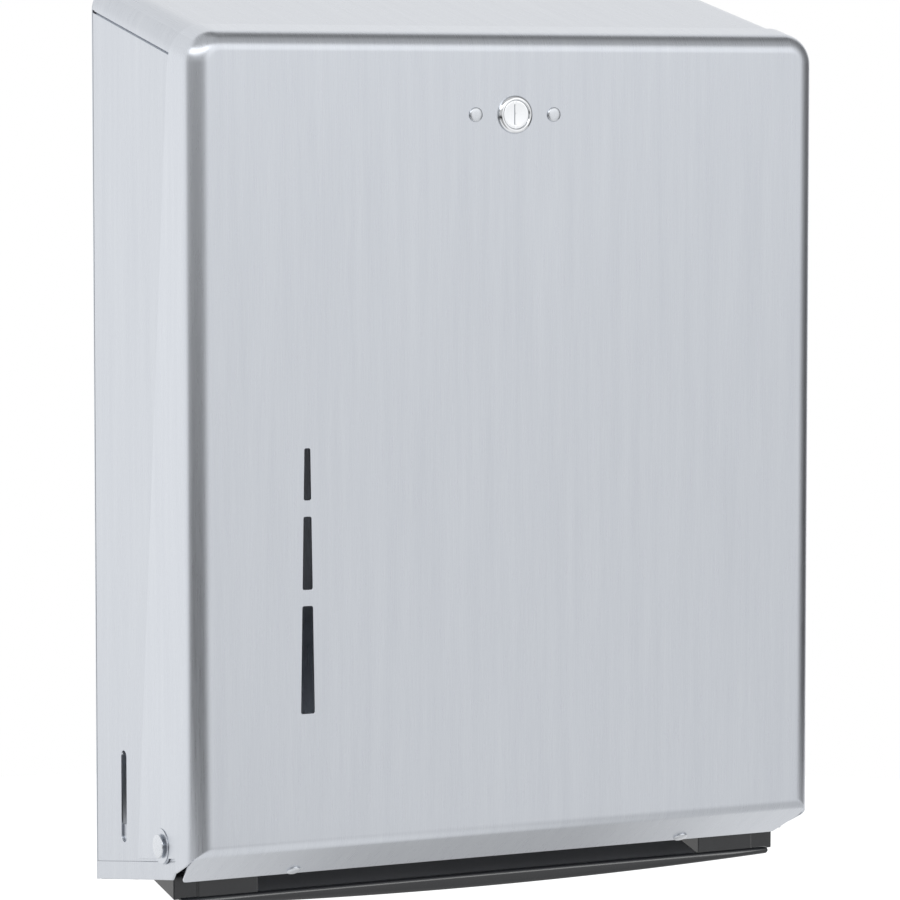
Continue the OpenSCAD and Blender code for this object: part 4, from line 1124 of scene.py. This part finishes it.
def makeFloor():
    # a pale disc below the opened cover; what it gives off to the eye makes it white, and to mirrors it
    # glows at set levels with a painted shadow under the object
    data = bpy.data.meshes.new("floor")
    steps = floor["steps"]
    spots = np.column_stack([ring(0, 0, floor["radius"], steps), np.full(steps, floor["height"])])
    data.from_pydata(spots, [], [list(range(steps))])
    obj = addObject("floor", data)
    material = bpy.data.materials.new("pale floor")
    tree = emptyTree(material)
    path = addNode(tree, "ShaderNodeLightPath").outputs
    spot = addNode(tree, "ShaderNodeTexCoord").outputs["Object"]
    across, along, _ = addNode(tree, "ShaderNodeSeparateXYZ", {0: spot}).outputs
    # metal sees the floor dimmed ahead to the left, where the studio is dark
    leftward, forward = rangeNode(tree, across, floor["dimX"]), rangeNode(tree, along, floor["dimY"])
    ahead = mathNode(tree, "MULTIPLY", leftward, forward)
    left, middle, right = floor["shade"]
    nearIt = rangeNode(tree, across, floor["nearX"], *floor["near"])
    shade = rangeNode(tree, across, floor["shadeX"][0], left, middle)
    shade = rangeNode(tree, across, floor["shadeX"][1], shade, right)
    level = rangeNode(tree, along, floor["nearY"], floor["mirrored"], nearIt)
    level = rangeNode(tree, along, floor["shadeY"], level, shade)
    level = rangeNode(tree, along, floor["rearY"], level, floor["rear"])
    level = rangeNode(tree, ahead, (0.0, 1.0), level, floor["dim"])
    seen = mathNode(tree, "ADD", path["Is Camera Ray"], path["Is Transmission Ray"])
    glow = mathNode(tree, "MULTIPLY", seen, floor["glow"])
    shine = addNode(tree, "ShaderNodeEmission", {"Strength": glow})
    matt = addNode(tree, "ShaderNodeBsdfDiffuse", {"Color": linear(floor["albedo"])})
    plain = addNode(tree, "ShaderNodeAddShader", {0: matt.outputs[0], 1: shine.outputs[0]})
    mirrored = addNode(tree, "ShaderNodeEmission", {"Strength": level})
    both = addNode(tree, "ShaderNodeMixShader", {
        0: path["Is Glossy Ray"], 1: plain.outputs[0], 2: mirrored.outputs[0]})
    # seen from below the floor lets the view through
    clear = addNode(tree, "ShaderNodeBsdfTransparent")
    behind = addNode(tree, "ShaderNodeNewGeometry").outputs["Backfacing"]
    oneSided = addNode(tree, "ShaderNodeMixShader", {0: behind, 1: both.outputs[0], 2: clear.outputs[0]})
    addNode(tree, "ShaderNodeOutputMaterial", {"Surface": oneSided.outputs[0]})
    data.materials.append(material)


room = {
    "plain": 0.55,           # level that the room lends to matt surfaces
    # what metal shows, by degrees of bearing from straight ahead of the front (0) round by its left
    # (90) and of height above the horizon: each pair of spans is where a level sets in and goes
    "screen": 1.0, "screenBearing": ((-76, -30), (-14, 32)), "screenHeight": ((-40, -25), (24, 56)),
    "screenHead": 0.38, "screenHeadHeight": (-4, 12),  # what the screen gains towards its head
    "strip": 2.4, "stripBearing": ((-18, 8), (96, 116)), "stripHeight": ((18, 28), (38, 46)),
    "rear": 1.17, "rearLeft": (90, 120), "rearRight": (104, 128), "rearTop": (48, 66),
    "rearHigh": 0.88, "rearHighHeight": (4, 20),  # share of the rear's level left higher up
    # unlit parts of the studio: the floor, the low screen and above it
    "dark": (0.42, 0.03, 0.58), "darkAbove": (-11, 2), "darkFloor": (-12, -20),
    "darkRight": 0.6, "darkRightBearing": (-40, -85),  # what they lose to the right
}


def makeRoom():
    # white to the eye; in metal it is a studio: a white screen ahead to the right, a strip light above
    # the camera, white surroundings behind the object, and dark between them
    world = bpy.data.worlds.new("studio")
    bpy.context.scene.world = world
    tree = emptyTree(world)

    def math(operation, *values):
        return mathNode(tree, operation, *values)

    def ramp(value, span):
        return rangeNode(tree, value, span, kind="SMOOTHSTEP")

    def less(value):
        return math("SUBTRACT", 1.0, value)

    def times(*values):
        return math("MULTIPLY", *values)

    def band(value, spans):
        return times(ramp(value, spans[0]), less(ramp(value, spans[1])))

    way = addNode(tree, "ShaderNodeTexCoord").outputs["Generated"]
    x, y, z = addNode(tree, "ShaderNodeSeparateXYZ", {0: way}).outputs
    bearing = math("DEGREES", math("ARCTAN2", times(x, -1.0), times(y, -1.0)))
    height = math("DEGREES", math("ARCSINE", z))
    screen = times(band(bearing, room["screenBearing"]), band(height, room["screenHeight"]))
    gain = times(room["screenHead"], ramp(height, room["screenHeadHeight"]))
    screen = times(screen, math("ADD", room["screen"], gain))
    strip = times(band(bearing, room["stripBearing"]), band(height, room["stripHeight"]))
    strip = times(strip, room["strip"])
    rearRight = ramp(times(bearing, -1.0), room["rearRight"])
    rear = math("ADD", ramp(bearing, room["rearLeft"]), rearRight)
    rear = times(rear, less(ramp(height, room["rearTop"])))
    fade = less(times(1.0 - room["rearHigh"], ramp(height, room["rearHighHeight"])))
    rear = times(times(rear, fade), room["rear"])
    lowDown, lowScreen, above = room["dark"]
    dark = math("ADD", lowScreen, times(above - lowScreen, ramp(height, room["darkAbove"])))
    dark = math("ADD", dark, times(lowDown - lowScreen, ramp(height, room["darkFloor"])))
    dark = times(dark, less(times(room["darkRight"], ramp(bearing, room["darkRightBearing"]))))
    level = math("MAXIMUM", math("MAXIMUM", screen, strip), math("MAXIMUM", rear, dark))
    path = addNode(tree, "ShaderNodeLightPath").outputs
    mirrored = math("MAXIMUM", path["Is Glossy Ray"], path["Is Transmission Ray"])
    lit = addNode(tree, "ShaderNodeMix", {
        "Factor": mirrored, "A": room["plain"], "B": level}, data_type="FLOAT")
    seen = addNode(tree, "ShaderNodeMix", {
        "Factor": path["Is Camera Ray"], "A": lit.outputs[0], "B": 1.0}, data_type="FLOAT")
    shade = addNode(tree, "ShaderNodeBackground", {
        "Color": linear("#ffffff"), "Strength": seen.outputs[0]})
    addNode(tree, "ShaderNodeOutputWorld", {"Surface": shade.outputs[0]})


lamps = [
    {"name": "key", "place": (0.75, -1.5, 1.1), "size": 0.9, "power": 8.0},
    {"name": "fill", "place": (-1.4, -0.9, 0.9), "size": 1.0, "power": 5.0},
    {"name": "low", "place": (0.1, -1.2, -0.14), "size": 0.25, "power": 8.0},
    # a faint glow on the back panel, as the slots show it
    {"name": "inside", "place": (0, -0.097, 0.015), "aim": (0, 0, 0.015), "size": 0.2,
     "power": 0.0062, "mirrored": True},
    # a long lamp that only the guide's gloss shows, as a line along the rail and on the blocks' edges
    {"name": "edge", "place": (0.37, -0.70, 0.10), "aim": (0, -0.075, -0.185), "size": (0.7, 0.25),
     "power": 1.9, "mirrored": True, "only": ("guide_rail", "guide_left_block", "guide_right_block")},
]


def makeLamp(name, place, size, power, aim=(0, 0, 0), mirrored=False, only=()):
    # a soft lamp; metal shows the room instead, unless it is mirrored
    data = bpy.data.lights.new(name, "AREA")
    data.shape = "RECTANGLE"
    data.size, data.size_y = np.broadcast_to(size, 2)
    data.energy = power
    lamp = addObject(name, data)
    lamp.location = place
    lamp.rotation_euler = (Vector(aim) - Vector(place)).to_track_quat("-Z", "Y").to_euler()
    lamp.visible_glossy = mirrored
    lamp.visible_camera = False
    if only:
        lit = bpy.data.collections.new(name + " lamp's pieces")
        for piece in only:
            lit.objects.link(bpy.data.objects[piece])
        lamp.light_linking.receiver_collection = lit


makeFloor()
makeRoom()
for lamp in lamps:
    makeLamp(**lamp)
bpy.context.scene.view_settings.view_transform = "Standard"
print("stage set")
